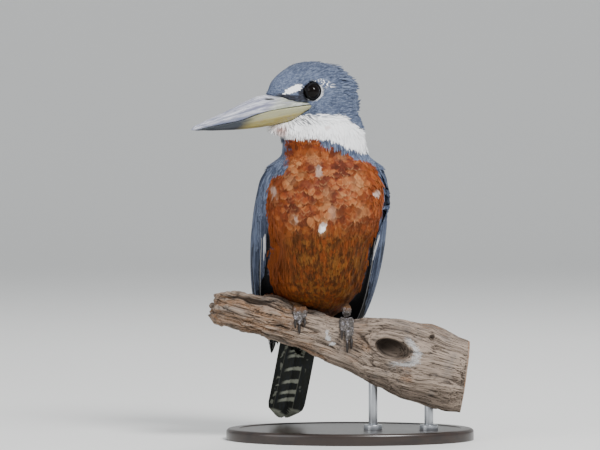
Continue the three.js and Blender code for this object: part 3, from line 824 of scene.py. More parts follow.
class SkinOperator(bpy.types.Operator):
    """One skin over the head, neck, body and wings, inside them by the depth of the coat"""

    bl_idname = "kingfisher.skin"
    bl_label = "Skin"

    def execute(self, context):
        tint = settings("plumage")
        wings = WING_NODES["left"] + WING_NODES["right"]
        mesh = remeshed(BODY_NODES + wings, THICKENED, SKIN_VOXEL, 12, "skin")
        points = places(mesh)
        x, y, z = (points / MM).T
        _, up, forward = head_places(points)
        wing_near = distances(tree_of(wings), points)
        body_near = distances(tree_of(BODY_NODES), points)
        wing = step(body_near - wing_near, -WING_SEAM, WING_SEAM)
        on_head = step(z - collar_top(x, y), -6, 4)
        inner = step(normals(mesh)[:, 0] * np.where(x < BODY_MIDDLE, 1, -1), 0.1, 0.6)
        # The coat deepens towards the wing's tip, and thins at its end and on its inner side.
        thinned = 0.55 * (1 - step(z, 84, 92)) + 1.3 * inner * (1 - step(z, 100, 120))
        tip = 1.5 - 0.5 * step(z, 90, 125) - thinned
        body_depth = tint.body_depth * (0.1 + 0.9 * step(z, 100, 112))
        notch = NOTCH * bell(z - 150, 11) * step(-x, 38, 45) * (1 - step(y, 0, 15))
        depth = (body_depth + notch) * (1 - wing) + tint.wing_depth * tip.clip(0.15) * wing
        head_depth = tint.head_depth * (1 - 0.9 * step(up, 16, 26))
        depth = depth * (1 - on_head) + head_depth * on_head
        chin = step(forward, -4, 8) * step(-up, 4, 9) * step(z, 236, 242)
        depth = depth - (depth - CHIN_DEPTH) * chin
        bill_near = distances(tree_of(("upper_bill", "lower_bill")), points)
        beside_bill = 1 - step(bill_near, *BESIDE_BILL)
        depth = depth * (1 - beside_bill) - BILL_LAP * beside_bill
        set_places(mesh, points - normals(mesh) * (depth + THICKENED)[:, None])
        mesh = modified(mesh, ("SMOOTH", {"factor": 0.5, "iterations": 6}))
        set_attribute(mesh, "wing", wing)
        material = plumage_material("skin_markings", False)
        new_piece("skin", mesh, material, BODY_NODES + wings)
        return {"FINISHED"}


# ---- Coat -----------------------------------------------------------------------------------------

SHOULDER_ZONE = 8  # the row of the coat's zones that lies on the wings
BARE_RING = 7.2 * MM  # from the middle of an eye to the first feathers
FACE_RING = 14 * MM  # from the middle of an eye to where the feathers get longer
BILL_BASE = 34  # millimetres in front of the gape where the feathers end
BARE_LEG = 5 * MM  # from the left tarsus to the first feathers


class CoatOperator(bpy.types.Operator):
    """Feathers of the head, collar, breast, belly, back and shoulders"""

    bl_idname = "kingfisher.coat"
    bl_label = "Coat"

    def execute(self, context):
        skin = bpy.data.objects["skin"].data
        skin.calc_loop_triangles()
        corners = np.array([face.vertices[:] for face in skin.loop_triangles])
        middle = places(skin)[corners].mean(1)
        wing_at = np.empty(len(skin.vertices), np.float32)
        skin.attributes["wing"].data.foreach_get("value", wing_at)
        wing = wing_at[corners].mean(1)
        x, y, z = (middle / MM).T
        _, up, forward = head_places(middle)
        crown = z > collar_top(x, y)
        collar = ~crown & (z > collar_foot(x, y))
        body = ~crown & ~collar
        from_eyes = [np.linalg.norm(middle - np.array(eye_centre(side)), axis=1) for side in SIDES]
        from_eye = np.minimum(*from_eyes)
        bare = (from_eye < BARE_RING) | (crown & (forward > BILL_BASE))
        face = crown & ((from_eye < FACE_RING) | (forward > 12))
        nape = crown & (forward < -24)
        slate = slate_body(x, y, z) > 0.5
        winged = wing > 0.5
        vent = (z < 112) & (y > 28)
        from_leg = distances(tree_of([f"tarsus_{side}" for side in SIDES]), middle)
        bare_leg = (from_leg < BARE_LEG) & (x > 0)
        below_flank = ((x > 12) & (z < 113)) | ((x > 8) & (y > 4) & (z < 124))
        rufous = body & ~winged & ~slate & ~vent & ~bare_leg & ~below_flank
        scaled = (z > 172 + 10 * np.sin(x * 0.4)) & (np.abs(x + 5) < 38)
        zones = (  # piece, faces, spacing, locks, length, width, lift, curl
            ("coat_head", face & ~bare, 0.75, 1, 2.8, 0.8, 0.20, 0.16),
            ("coat_head", crown & ~face & ~nape & ~bare, 0.95, 1, 6.0, 1.0, 0.26, 0.16),
            ("coat_head", nape & (up < 6), 1.1, 1, 8.5, 1.1, 0.2, 0.12),
            ("coat_head", nape & (up >= 6), 1.2, 1, 10.5, 1.1, 0.42, 0.16),
            ("coat_collar", collar & ~bare, 1.15, 1, 7.5, 1.3, 0.26, 0.22),
            ("coat_breast", rufous & scaled, 2.3, 7, 9.0, 5.8, 0.28, 0.26),
            ("coat_belly", rufous & ~scaled, 1.1, 1, 9.5, 1.35, 0.24, 0.2),
            ("coat_back", body & ~winged & slate & ~vent & (y > 8), 3.0, 7, 11, 7.5, 0.24, 0.26),
            ("coat_back", body & winged & (z > 186), 1.5, 1, 9, 1.9, 0.2, 0.16),
            ("coat_back", body & ~winged & slate & ~vent & (y <= 8), 1.3, 1, 8, 1.7, 0.22, 0.18),
            ("coat_back", body & ~winged & vent & (x < 10), 2.8, 5, 12, 5.5, 0.22, 0.2),
        )
        coats = {}
        for number, (piece, faces, spacing, locks, length, width, lift, curl) in enumerate(zones):
            random = np.random.default_rng(SEED + number)
            points, outward = sow(skin, faces, spacing * MM, random)
            templates = [Template(locks, kind) for kind in range(KINDS)]
            coat = coats.setdefault(piece, Coat())
            winged_here = np.full(len(points), float(number == SHOULDER_ZONE))
            plain = 0.6 if piece == "coat_breast" else 0.4
            size = (length * MM, width * MM, lift, curl)
            plant(coat, templates, points, outward, winged_here, size, plain, random)
        material = plumage_material("plumage", True)
        for piece, coat in coats.items():
            new_piece(piece, coat.build(piece), material)
        return {"FINISHED"}


def eye_centre(side):
    return sum(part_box(f"eye_{side}"), Vector()) / 2


# ---- Flight feathers ------------------------------------------------------------------------------

class QuillCoat(Coat):
    """Long feathers, each with its own patch on the bake map. Their tone is in the "wing" attribute."""

    ROWS, COLUMNS = 22, 9
    SHAFT_RIDGE = 0.35 * MM

    def __init__(self, total):
        super().__init__()
        self.across = math.ceil(math.sqrt(total))
        self.placed = 0

    def lay(self, path, outward, width, tone, shade, shaft, round_tip, arch=1.0, under=None):
        """A feather along a path of points.

        "outward" is its upper side, "shaft" the shaft's place across it, and "under" the wing that it is
        pressed to.
        """
        rows = np.linspace(0, 1, self.ROWS)[:, None]
        columns = np.linspace(-1, 1, self.COLUMNS)[None]
        middle = 2 * shaft - 1
        bent = columns + middle * (1 - columns * columns)
        past_tip = ((rows - 1 + round_tip) / round_tip).clip(0)
        half = np.minimum(1, 0.3 + rows / 0.12) * np.sqrt(np.clip(1 - past_tip ** 2, 0, 1))
        along = unit(np.gradient(path, axis=0))
        side = unit(np.cross(along, outward))
        offset = bent * half * width / 2
        sag = arch * (offset - middle * half * width / 2) ** 2 / (0.5 * width) * 0.5
        shaft_ridge = self.SHAFT_RIDGE * bell(bent - middle, 0.1) * (1 - rows)
        points = (
            path[:, None] + side[:, None] * offset[..., None]
            + outward[:, None] * (shaft_ridge - sag)[..., None]
        )
        if under:
            points = pressed(points, under)
        vane = np.stack(np.broadcast_arrays((bent + 1) / 2, rows), -1).reshape(-1, 2)
        cell = np.array([self.placed % self.across, self.placed // self.across])
        bake = (cell + 0.04 + 0.92 * vane) / self.across
        index = np.arange(self.ROWS * self.COLUMNS).reshape(self.ROWS, self.COLUMNS)
        a, b, c, d = index[:-1, :-1], index[:-1, 1:], index[1:, 1:], index[1:, :-1]
        faces = np.concatenate([np.stack(f, -1).reshape(-1, 3) for f in ((a, b, c), (a, c, d))])
        points = points.reshape(1, -1, 3)
        facing = outward[:, None] + side[:, None] * (offset / width)[..., None] * arch
        self.add(
            points, faces, vane[None], bake[None], points, facing, np.array([shade]), np.array([tone]),
        )
        self.placed += 1


PRESS_HEIGHT = -0.8  # millimetres over the wing's surface that feathers hardly rise past
PRESSED_BACK = 0.85  # of the way back to that height
SLIMMED = 1.7  # millimetres further in at the left wing's front edge, beside the breast


def pressed(points, under):
    """The points, drawn back to the press height where they are over it and well above the wing's tip."""
    flat = points.reshape(-1, 3).copy()
    for point in flat:
        nearest, outward = under.find_nearest(Vector(point))[:2]
        slimmed = SLIMMED * bell(point[2] / MM - 189, 14) * (point[0] > 0 > point[1])
        over = (Vector(point) - nearest).dot(outward) - (PRESS_HEIGHT - slimmed) * MM
        point -= np.array(outward) * max(0, over) * PRESSED_BACK * step(point[2] / MM, 115, 140)
    return flat.reshape(points.shape)


RAY_START, RAY_LENGTH = 0.12, 0.13  # from the line between the wings, out and back in
BESIDE_WING = 45  # millimetres from that line to just outside a wing
CORNER_FACING = -0.6  # the front edge's corner is where the surface no longer faces forwards more than this


class WingChart:
    """Places on the outside of one folded wing.

    "across" runs from the rounded corner beside its front edge, 0, to its back edge, 1, and the other way
    round the corner to the front edge, -1.
    """

    def __init__(self, side):
        mesh = remeshed(WING_NODES[side], THICKENED, SKIN_VOXEL, 14, "chart")
        self.tree = BVHTree.FromPolygons([v.co for v in mesh.vertices], [p.vertices for p in mesh.polygons])
        bpy.data.meshes.remove(mesh)
        self.sign = 1 if side == "left" else -1
        spans = [self.span(part) for part in ("coverts", "primaries")]
        self.top, self.foot = ((low + high) / 2 for low, high in spans)
        lowest, highest = min(low[2] for low, _ in spans), max(high[2] for _, high in spans)
        heights = np.linspace(lowest + 2 * MM, highest - 2 * MM, 24)
        rows = [(height, self.edges(height)) for height in heights]
        self.heights = [height for height, turns in rows if turns]
        self.turns = eased(np.array([turns for _, turns in rows if turns]), 4)

    @staticmethod
    def span(part):
        """Lowest and highest corner of the box round one part of both wings."""
        corners = [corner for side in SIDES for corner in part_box(f"wing_{side}_{part}")]
        return [np.array([pick(c[i] for c in corners) for i in range(3)]) for pick in (min, max)]

    def axis_point(self, height):
        """Point at a height on the line through the middles of both wings' coverts and primaries."""
        share = (height - self.foot[2]) / (self.top[2] - self.foot[2])
        centre = self.foot + (self.top - self.foot) * share
        return Vector((centre[0], centre[1], height))

    def away(self, turn):
        return Vector((math.cos(turn) * self.sign, math.sin(turn), 0))

    def hit(self, turn, height):
        """The wing's outside in a direction from that line: point and outward direction."""
        away = self.away(turn)
        return self.tree.ray_cast(self.axis_point(height) + away * RAY_START, -away, RAY_LENGTH)[:2]

    def edges(self, height):
        """Turns of the wing's front edge, of the corner beside it and of the back edge, at a height."""
        turns = [math.radians(half_degrees / 2) for half_degrees in range(-180, 200)]
        found = [(turn, self.hit(turn, height)[1]) for turn in turns]
        found = [(turn, outward) for turn, outward in found if outward]
        if len(found) < 8:
            return None
        corner = next((turn for turn, outward in found if outward.y > CORNER_FACING), found[0][0])
        return found[0][0], corner, found[-1][0]

    def place(self, across, height):
        """Point and outward direction there."""
        charted = min(max(height, self.heights[0]), self.heights[-1])
        front, corner, back = (np.interp(charted, self.heights, turns) for turns in self.turns.T)
        turn = corner + ((back - corner) * 0.98 if across > 0 else corner - front) * across
        point, outward = self.hit(turn, charted)
        if point is None:
            beside = self.axis_point(charted) + self.away(turn) * BESIDE_WING * MM
            point, outward = self.tree.find_nearest(beside)[:2]
        return np.array((point[0], point[1], height)), np.array(outward)


def eased(values, passes):
    for _ in range(passes):
        inner = (values[:-2] + 2 * values[1:-1] + values[2:]) / 4
        values = np.concatenate([values[:1], inner, values[-1:]])
    return values


# Rows of a wing's feathers, the lowest layer first. "root" and "tip" give (across, height) at the row's
# front and back end, "rise" is the height of its tips over the wing, and "tone" runs from 0 for slate to 1
# for black, and is below 0 for white.
WING_ROWS = (
    {"count": 10, "root": ((-0.3, 168), (0.70, 172)), "tip": ((-0.1, 75), (0.70, 66)), "width": 10,
     "rise": -1.5, "tone": 1.0, "shaft": 0.36, "tip_round": 0.18},
    {"count": 9, "root": ((0.10, 172), (0.92, 182)), "tip": ((0.16, 112), (0.90, 96)), "width": 10,
     "rise": -0.9, "tone": 0.55, "shaft": 0.42, "tip_round": 0.14},
    {"count": 4, "root": ((0.66, 190), (0.94, 198)), "tip": ((0.62, 118), (0.92, 108)), "width": 14,
     "rise": -0.6, "tone": 0.3, "shaft": 0.46, "tip_round": 0.16},
    {"count": 15, "root": ((-0.95, 190), (0.2, 196)), "tip": ((-0.85, 134), (0.22, 92)), "width": 4.6,
     "rise": -0.9, "tone": 0.12, "shaft": 0.42, "tip_round": 0.2},
    {"count": 24, "root": ((-0.95, 208), (0.96, 204)), "tip": ((-0.8, 150), (0.94, 152)), "width": 4.8,
     "rise": -0.8, "tone": 0.08, "shaft": 0.46, "tip_round": 0.24},
    {"count": 24, "root": ((-0.8, 222), (0.96, 216)), "tip": ((-0.8, 174), (0.95, 176)), "width": 4.6,
     "rise": -0.7, "tone": 0.05, "shaft": 0.5, "tip_round": 0.3},
    {"count": 2, "root": ((-0.96, 168), (-0.9, 167)), "tip": ((-0.98, 148), (-0.9, 143)), "width": 1.1,
     "rise": -0.4, "tone": -0.5, "shaft": 0.5, "tip_round": 0.5},
)
ROOT_SINK = 3.4  # millimetres that the feathers' roots lie inside the wing
CORNER_SINK = 1.2  # millimetres more that they lie inside its rounded front corner


class WingsOperator(bpy.types.Operator):
    """Primaries, secondaries, tertials and coverts of both folded wings"""

    bl_idname = "kingfisher.wings"
    bl_label = "Wings"

    def execute(self, context):
        material = quill_material()
        for side in SIDES:
            random = np.random.default_rng(SEED + len(side))
            chart = WingChart(side)
            coat = QuillCoat(sum(row["count"] for row in WING_ROWS))
            for row in WING_ROWS:
                for number in range(row["count"]):
                    self.lay_one(coat, chart, row, number, random)
            new_piece(f"quills_{side}_wing", coat.build("quills"), material)
        return {"FINISHED"}

    def lay_one(self, coat, chart, row, number, random):
        share = number / (row["count"] - 1)
        ends = [
            np.array(row[end][0]) * (1 - share) + np.array(row[end][1]) * share for end in ("root", "tip")
        ]
        ends[1] = ends[1] + random.normal(0, (0.01, 2.2))
        steps = np.linspace(0, 1, QuillCoat.ROWS)
        found = [chart.place(*((ends[0] * (1 - t) + ends[1] * t) * (1, MM))) for t in steps]
        path, outward = (eased(np.array(values), 6) for values in zip(*found))
        outward = unit(outward)
        layer = 0.07 * (number % 2) + 0.02 * number
        corner = CORNER_SINK * math.exp(-((ends[1][0] / 0.22) ** 2))
        rise = (row["rise"] - corner + ROOT_SINK) * step(steps, -0.1, 0.35) - ROOT_SINK + layer
        shaft = row["shaft"] if chart.sign < 0 else 1 - row["shaft"]
        coat.lay(
            path + outward * rise[:, None] * MM, outward, row["width"] * MM * random.uniform(0.94, 1.06),
            row["tone"], random.random(), shaft, row["tip_round"], under=chart.tree,
        )


TAIL_PAIRS = 6
TAIL_COVERTS = 22  # by turns under and over the roots
TAIL_WIDTH, COVERT_WIDTH = 14 * MM, 9 * MM
# Tones, by which the tail's material tells its feathers apart.
OVER_TONE, TAIL_TONE, UNDER_TONE = 0.1, 0.7, 0.9


class TailOperator(bpy.types.Operator):
    """Twelve tail feathers with pale bars, and the coverts under and over their roots"""

    bl_idname = "kingfisher.tail"
    bl_label = "Tail"

    def execute(self, context):
        random = np.random.default_rng(SEED)
        low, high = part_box("tail")
        points = places(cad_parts["tail"].data)
        curve = [np.polyfit(points[:, 2], points[:, axis], 2) for axis in (0, 1)]
        coat = QuillCoat(2 * TAIL_PAIRS + TAIL_COVERTS)
        for pair in range(TAIL_PAIRS):
            for sign in (1, -1):
                root = (sign * 0.5 * MM, high.z + 4 * MM)
                tip = (sign * (1.8 + 1.2 * pair) * MM, low.z + (0.4 + 0.13 * pair * pair) * MM)
                layer = (0.9 - 0.42 * pair) * MM - 0.1 * MM * (sign > 0)
                self.lay_one(coat, curve, root, tip, layer, TAIL_WIDTH, TAIL_TONE, random)
        for number in range(TAIL_COVERTS):
            under = number % 2 == 0
            height = 108 - 1.5 * (number // 2)
            aside = random.uniform(-6, 6) * MM
            root = (aside * 0.6, (height + 6) * MM)
            tip = (aside, (height - 26 + random.uniform(-3, 3)) * MM)
            behind = 0.14 * (TAIL_COVERTS // 2 - number // 2)
            layer = (-2.6 - behind if under else 2.2 + behind) * MM
            tone = UNDER_TONE if under else OVER_TONE
            self.lay_one(coat, curve, root, tip, layer, COVERT_WIDTH, tone, random)
        new_piece("quills_tail", coat.build("quills_tail"), tail_material(), ("tail",))
        return {"FINISHED"}

    def lay_one(self, coat, curve, root, tip, layer, width, tone, random):
        steps = np.linspace(0, 1, QuillCoat.ROWS)
        aside = root[0] + (tip[0] - root[0]) * step(steps, -0.1, 0.42)
        height = root[1] + (tip[1] - root[1]) * steps
        x, y = (np.polyval(line, height) for line in curve)
        path = np.stack([x + aside, y + layer - 0.08 * aside, height], 1)
        outward = np.broadcast_to(unit(np.array([[0.1, 1.0, 0.1]])), path.shape)
        coat.lay(path, outward, width, tone, random.random(), 0.5, 0.1, 0.5)


def barb_bump(finish, across, along):
    lines = wave(along * 150 + abs(across - 0.5) * 24)
    return finish.bump(lines, 0.12 * MM, 0.35)


def quill_material():
    finish = Finish("flight_feathers")
    tint = settings("plumage")
    across, along = finish.vane()
    shade, tone = finish.attribute("shade"), finish.attribute("wing")
    place = finish.millimetres(finish.object_place())
    barbs = finish.node("ShaderNodeCombineXYZ", {}, {0: across * 7, 1: along * 3, 2: shade * 50})
    streak = finish.noise(barbs, 1.0, 2, 0.6)
    broad = finish.noise(finish.vector("MULTIPLY", place, (1, 1, 0.12)), 0.3, 2, 0.6)
    slate = finish.mix(step(streak + shade * 0.2, 0.5, 0.75) * 0.5, tint.slate, tint.slate_pale)
    slate = finish.mix(step(1 - streak + (broad - 0.5) * 0.6, 0.42, 0.64) * 0.62, slate, tint.slate_dark)
    off = abs(across - 0.5)
    shaft_line = 1 - step(off, 0.02, 0.14)
    base = finish.mix(shaft_line * (0.4 + step(tone, 0.05, 0.12) * 0.45), slate, tint.black)
    base = finish.mix((1 - step(shade, 0.1, 0.6)) * 0.35, base, tint.slate_dark)
    dark = step(tone - off * 0.7 + step(along, 0.5, 1.0) * 0.12, 0.3, 0.42)
    base = finish.mix(dark, base, tint.black)
    edge = step(off, 0.42, 0.46)
    base = finish.mix(edge * step(tone, 0.1, 0.4) * 0.75 * step(shade, 0.4, 0.8), base, tint.white)
    base = finish.mix(edge * (1 - step(tone, 0.1, 0.4)) * 0.45, base, tint.slate_pale)
    base = finish.mix((1 - step(tone, -0.3, -0.1)) * 0.5, base, tint.white)
    inputs = {"Base Color": base, "Roughness": 0.75, "Specular IOR Level": 0.15,
              "Normal": barb_bump(finish, across, along)}
    return finish.surface(inputs)


TAIL_BARS = (67.5, 63.0, 52.2, 42.0, 33.4, 27.3)  # heights of the pale bars, in millimetres


def tail_material():
    """Black with pale bars on the middle feathers, spots at the sides and a pale tip."""
    finish = Finish("tail_feathers")
    tint = settings("plumage")
    across, along = finish.vane()
    tone, shade = finish.attribute("wing"), finish.attribute("shade")
    place = finish.millimetres(finish.object_place())
    x, _, z = finish.split(place)
    aside = x + 27.5 - 0.227 * (z - 64)  # from the tail's leaning middle line
    ragged = (finish.noise(place, 0.5, 2, 0.6) - 0.5) * 1.6
    loose = finish.noise(place, 0.11, 2, 0.5) - 0.5

    streak = finish.noise(finish.vector("MULTIPLY", place, (1, 1, 0.2)), 0.6, 2)
    dark = finish.mix(step(streak, 0.4, 0.7) * 0.3, tint.olive_black, tint.slate_dark)
    bars, spots = 0.0, 0.0
    for height in TAIL_BARS:
        half = 0.9 + 0.5 * step(aside, -4, 7)
        bent = ragged - 0.06 * aside + 0.02 * (aside - 2) * (aside - 2)
        bar = 1 - step(abs(z - height + bent), half - 0.4, half + 0.8)
        bars = bars + bar * step(aside, -6.5, -2) * (1 - step(aside, 7.2, 7.8))
        spots = spots + spot(aside + loose * 5, z + loose * 24, (-9.2, height + 2.5), (1.3, 1.5), 0.8)
        spots = spots + spot(aside + loose * 5, z + loose * 24, (10.6, height + 7), (0.8, 1.5), 0.8) * 0.4
    marks = at_most_one(bars * 0.7 + spots * 0.45)
    edge = (1 - step(abs(aside - 7.6), 0.15, 0.5)) * (1 - step(z, 52, 56)) * 0.18
    shaft = (1 - step(abs(aside + 8), 0.15, 0.5)) * 0.12
    base = finish.mix(marks, dark, tint.tail_pale)
    base = finish.mix(at_most_one(edge + shaft), base, tint.tail_pale)
    base = finish.mix(step(along + loose * 0.03, 0.95, 0.975) * 0.85, base, tint.tail_pale)
    cloudy = finish.noise(finish.vector("MULTIPLY", place, (1, 1, 1.6)), 0.16, 3, 0.6)
    under_tail = finish.mix(step(cloudy + shade * 0.1, 0.5, 0.6), dark, tint.tail_pale)
    base = finish.mix(step(tone, 0.78, 0.82), base, under_tail)  # between TAIL_TONE and UNDER_TONE
    base = finish.mix(1 - step(tone, 0.2, 0.3), base, tint.slate)  # between OVER_TONE and TAIL_TONE
    inputs = {"Base Color": base, "Roughness": 0.6, "Specular IOR Level": 0.25,
              "Normal": barb_bump(finish, across, along)}
    return finish.surface(inputs)


# ---- Bill and eyes --------------------------------------------------------------------------------

NOSTRIL = {"forward": 34.2, "up": 10.7, "long": 4.2, "high": 0.75, "slope": 0.16}


def upper_height(forward):
    """Height of the bill's upper half at a distance in front of the gape."""
    return 15.0 * (1 - forward / (BILL_LENGTH + 4))


def from_nostril(up, forward):
    """How far a place is in front of the nostril's middle, and how far over the line of its slit."""
    ahead = forward - NOSTRIL["forward"]
    return ahead, up - NOSTRIL["up"] - NOSTRIL["slope"] * ahead


class BillOperator(bpy.types.Operator):
    """Upper and lower half of the bill, with the ridge, nostrils and cutting edges"""

    bl_idname = "kingfisher.bill"
    bl_label = "Bill"

    def execute(self, context):
        horn = settings("horn")
        for name, sculpt, material in (
            ("upper_bill", self.sculpt_upper, upper_bill_material(horn)),
            ("lower_bill", self.sculpt_lower, lower_bill_material(horn)),
        ):
            mesh = remeshed((name,), 0.12 * MM, 0.5 * MM, 8, name + "_horn")
            points = places(mesh)
            inwards = sculpt(*head_places(points))
            set_places(mesh, points - normals(mesh) * inwards[:, None] * MM)
            slot = "upper_horn" if name == "upper_bill" else "lower_horn"
            new_piece(name + "_horn", mesh, material, (name,))
        return {"FINISHED"}

    @staticmethod
    def sculpt_upper(left, up, forward):
        """How far each vertex goes inwards, in millimetres."""
        side = np.abs(left)
        width = 14.0 * (1 - forward / (BILL_LENGTH + 6))
        height = upper_height(forward).clip(0.75)
        ridge = -0.35 * bell(side, 1.4) * step(up, height * 0.5, height * 0.8)
        groove = 0.45 * bell(up - height * 0.66, 0.10 * height + 0.3) * step(forward, 30, 42)
        groove = groove * (1 - step(forward, 78, 95)) * step(side, 1, 2.5)
        edge = 0.3 * bell(up - 0.9, 0.8) * step(side, width * 0.4, width * 0.7)
        ahead, over_slit = from_nostril(up, forward)
        slit = 0.9 * bell(over_slit, NOSTRIL["high"]) * bell(ahead, NOSTRIL["long"])
        return ridge + groove + edge + slit

    @staticmethod
    def sculpt_lower(left, up, forward):
        """The same for the lower half: a fork under the chin and a line along the side."""
        side = np.abs(left)
        fork = 0.8 * bell(side, 2.2) * (1 - step(forward, 22, 48)) * step(-up, 6, 9)
        return fork + 0.3 * bell(up + 3.4, 0.8)


def long_noise(finish, left, up, forward, scale, stretch):
    place = finish.node("ShaderNodeCombineXYZ", {}, {0: left, 1: up, 2: forward * stretch})
    return finish.noise(place, scale, 3, 0.6)


def upper_bill_material(horn):
    finish = Finish("upper_horn")
    point = finish.millimetres(finish.object_place())
    left, up, forward = finish.head_place(point)
    share = up / upper_height(forward)
    grain = long_noise(finish, left, up, forward, 0.55, 0.06)
    fine = long_noise(finish, left, up, forward, 2.2, 0.05)
    base = finish.mix(step(grain, 0.42, 0.62), horn.upper, horn.upper_dark)
    base = finish.mix(0.4, base, horn.upper)
    tomium = (1 - step(share, 0.12, 0.34)) * step(forward, 28, 46) * (1 - step(forward, 92, 101))
    side_line = (1 - step(abs(share - 0.74 + fine * 0.1), 0.04, 0.12)) * step(forward, 34, 50)
    lines = (tomium * 0.8 + side_line * 0.55) * step(grain + fine * 0.5, 0.4, 0.8)
    base = finish.mix(lines, base, horn.upper_dark)
    cream = (1 - step(forward + share * 16, 32, 52)) * (1 - step(up - forward * 0.03, 9.5, 12.5))
    base = finish.mix(cream * 0.75, base, horn.base)
    lilac = step(grain, 0.5, 0.62) * (1 - step(forward, 48, 66)) * step(share, 0.2, 0.45)
    base = finish.mix(lilac * 0.6, base, horn.lilac)
    base = finish.mix(step(1 - grain, 0.5, 0.62) * (1 - step(forward, 40, 60)) * 0.4, base, horn.pale)
    lip = (1 - step(up - 1.4, 0.2, 1.0)) * (1 - step(forward, 20, 40)) * step(forward, 0, 6)
    base = finish.mix(lip * 0.5, base, horn.upper_dark)
    # Painted shade: the nostril's slit is painted near black, as the shade inside the opening.
    slit = spot(*from_nostril(up, forward), (0, 0), (NOSTRIL["long"], 0.8), 0.4)
    base = finish.mix(slit, base, horn.lid)
    base = finish.mix(step(fine, 0.56, 0.72) * 0.4, base, horn.upper_dark)
    inputs = {"Base Color": base, "Roughness": 0.38, "Coat Weight": 0.15,
              "Normal": finish.bump(fine, 0.25 * MM, 0.5)}
    return finish.surface(inputs)


def lower_bill_material(horn):
    finish = Finish("lower_horn")
    point = finish.millimetres(finish.object_place())
    left, up, forward = finish.head_place(point)
    grain = long_noise(finish, left, up, forward, 0.7, 0.06)
    front = step(forward + up * 1.5 + grain * 14, 48, 66)
    base = finish.mix(step(grain, 0.4, 0.65) * 0.35, horn.lower, horn.base)
    base = finish.mix(step(1 - grain, 0.5, 0.64) * 0.3, base, horn.lilac)
    base = finish.mix(front, base, horn.lower_dark)
    base = finish.mix(step(forward, 96, 103) * 0.6, base, horn.upper)
    base = finish.mix(step(up, -4.5, -2.8) * (1 - front) * 0.55, base, horn.base)
    inputs = {"Base Color": base, "Roughness": 0.42, "Coat Weight": 0.05, "Specular IOR Level": 0.35,
              "Normal": finish.bump(grain, 0.3 * MM, 0.5)}
    return finish.surface(inputs)


CORNEA = 0.5 * MM  # that the front of the eyeball bulges
LID_OPENING = 0.82  # of the eyeball's radius


class EyesOperator(bpy.types.Operator):
    """Both eyeballs, and the rims of bare skin that are their lids"""

    bl_idname = "kingfisher.eyes"
    bl_label = "Eyes"

    def execute(self, context):
        horn = settings("horn")
        low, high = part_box("eye_left")
        radius = (high.z - low.z) / 2
        eye = self.eye_material(horn)
        lid = self.lid_material(horn)
        for side, sign in (("left", 1), ("right", -1)):
            axis = (LEFTWARD * sign + FORWARD * 0.12).normalized()
            turn = axis.to_track_quat("Z", "Y").to_matrix().to_4x4()
            seat = Matrix.Translation(eye_centre(side)) @ turn
            ball = bmesh.new()
            bmesh.ops.create_uvsphere(ball, u_segments=64, v_segments=40, radius=radius)
            for vertex in ball.verts:
                vertex.co.z += CORNEA * max(0, vertex.co.z / radius) ** 6
            bmesh.ops.transform(ball, matrix=seat, verts=ball.verts)
            new_piece(f"eyeball_{side}", mesh_of(ball, "eyeball"), eye, (f"eye_{side}",))
            rim = self.lid_shape(radius)
            bmesh.ops.transform(rim, matrix=seat, verts=rim.verts)
            new_piece(f"lid_{side}", mesh_of(rim, "lid"), lid)
        return {"FINISHED"}

    @staticmethod
    def lid_shape(radius):
        """A soft ring that lies on the eyeball, thicker towards its outside."""
        opening = LID_OPENING * radius
        seat = math.sqrt(radius ** 2 - opening ** 2)
        shape = bmesh.new()
        ring = bmesh.ops.create_circle(shape, segments=14, radius=1)["verts"]
        for vertex in ring:
            x, y = vertex.co.x, vertex.co.y
            rise = (0.5 * y - 0.4 * x - 0.3) * MM
            vertex.co = (opening + (0.55 + 0.75 * x) * MM, 0, seat + rise)
        edges = list(shape.edges)
        bmesh.ops.spin(
            shape, geom=list(ring) + edges, cent=(0, 0, 0), axis=(0, 0, 1), angle=2 * math.pi, steps=72,
            use_merge=True,
        )
        bmesh.ops.remove_doubles(shape, verts=shape.verts, dist=1e-6)
        bmesh.ops.recalc_face_normals(shape, faces=shape.faces)
        for vertex in shape.verts:
            wrinkle = noise.noise(vertex.co * 900) * 0.12 * MM
            vertex.co += vertex.normal * wrinkle
        return shape

    @staticmethod
    def eye_material(horn):
        finish = Finish("eye")
        grain = finish.noise(finish.object_place(), 600, 2)
        base = finish.mix(grain, horn.iris, tuple(c * 0.35 for c in horn.iris))
        inputs = {"Base Color": base, "Roughness": 0.1, "Coat Weight": 0.06, "Coat Roughness": 0.03,
                  "Specular IOR Level": 0.1}
        return finish.surface(inputs)

    @staticmethod
    def lid_material(horn):
        finish = Finish("lid")
        grain = finish.noise(finish.object_place(), 1800, 3)
        base = finish.mix(step(grain, 0.4, 0.7), horn.lid, tuple(c * 2.0 for c in horn.lid))
        inputs = {"Base Color": base, "Roughness": 0.6, "Specular IOR Level": 0.12,
                  "Normal": finish.bump(grain, 0.2 * MM, 0.6)}
        return finish.surface(inputs)


# ---- Feet -----------------------------------------------------------------------------------------

FOOT_GROWN = 1.6  # millimetres that the toes swell before they are joined
FOOT_SHRUNK = 1.65  # millimetres that the joined foot is taken in again
SCUTES, KNUCKLES = 42, 10.5  # waves of the scales, and of the joints, for each radian round the driftwood
GRIP_RISE = 30 * MM  # of the wood's middle under the feet over that of the whole driftwood
LEG_TOP = (101.5, 105.5)  # heights between which the left leg turns from scales to short down


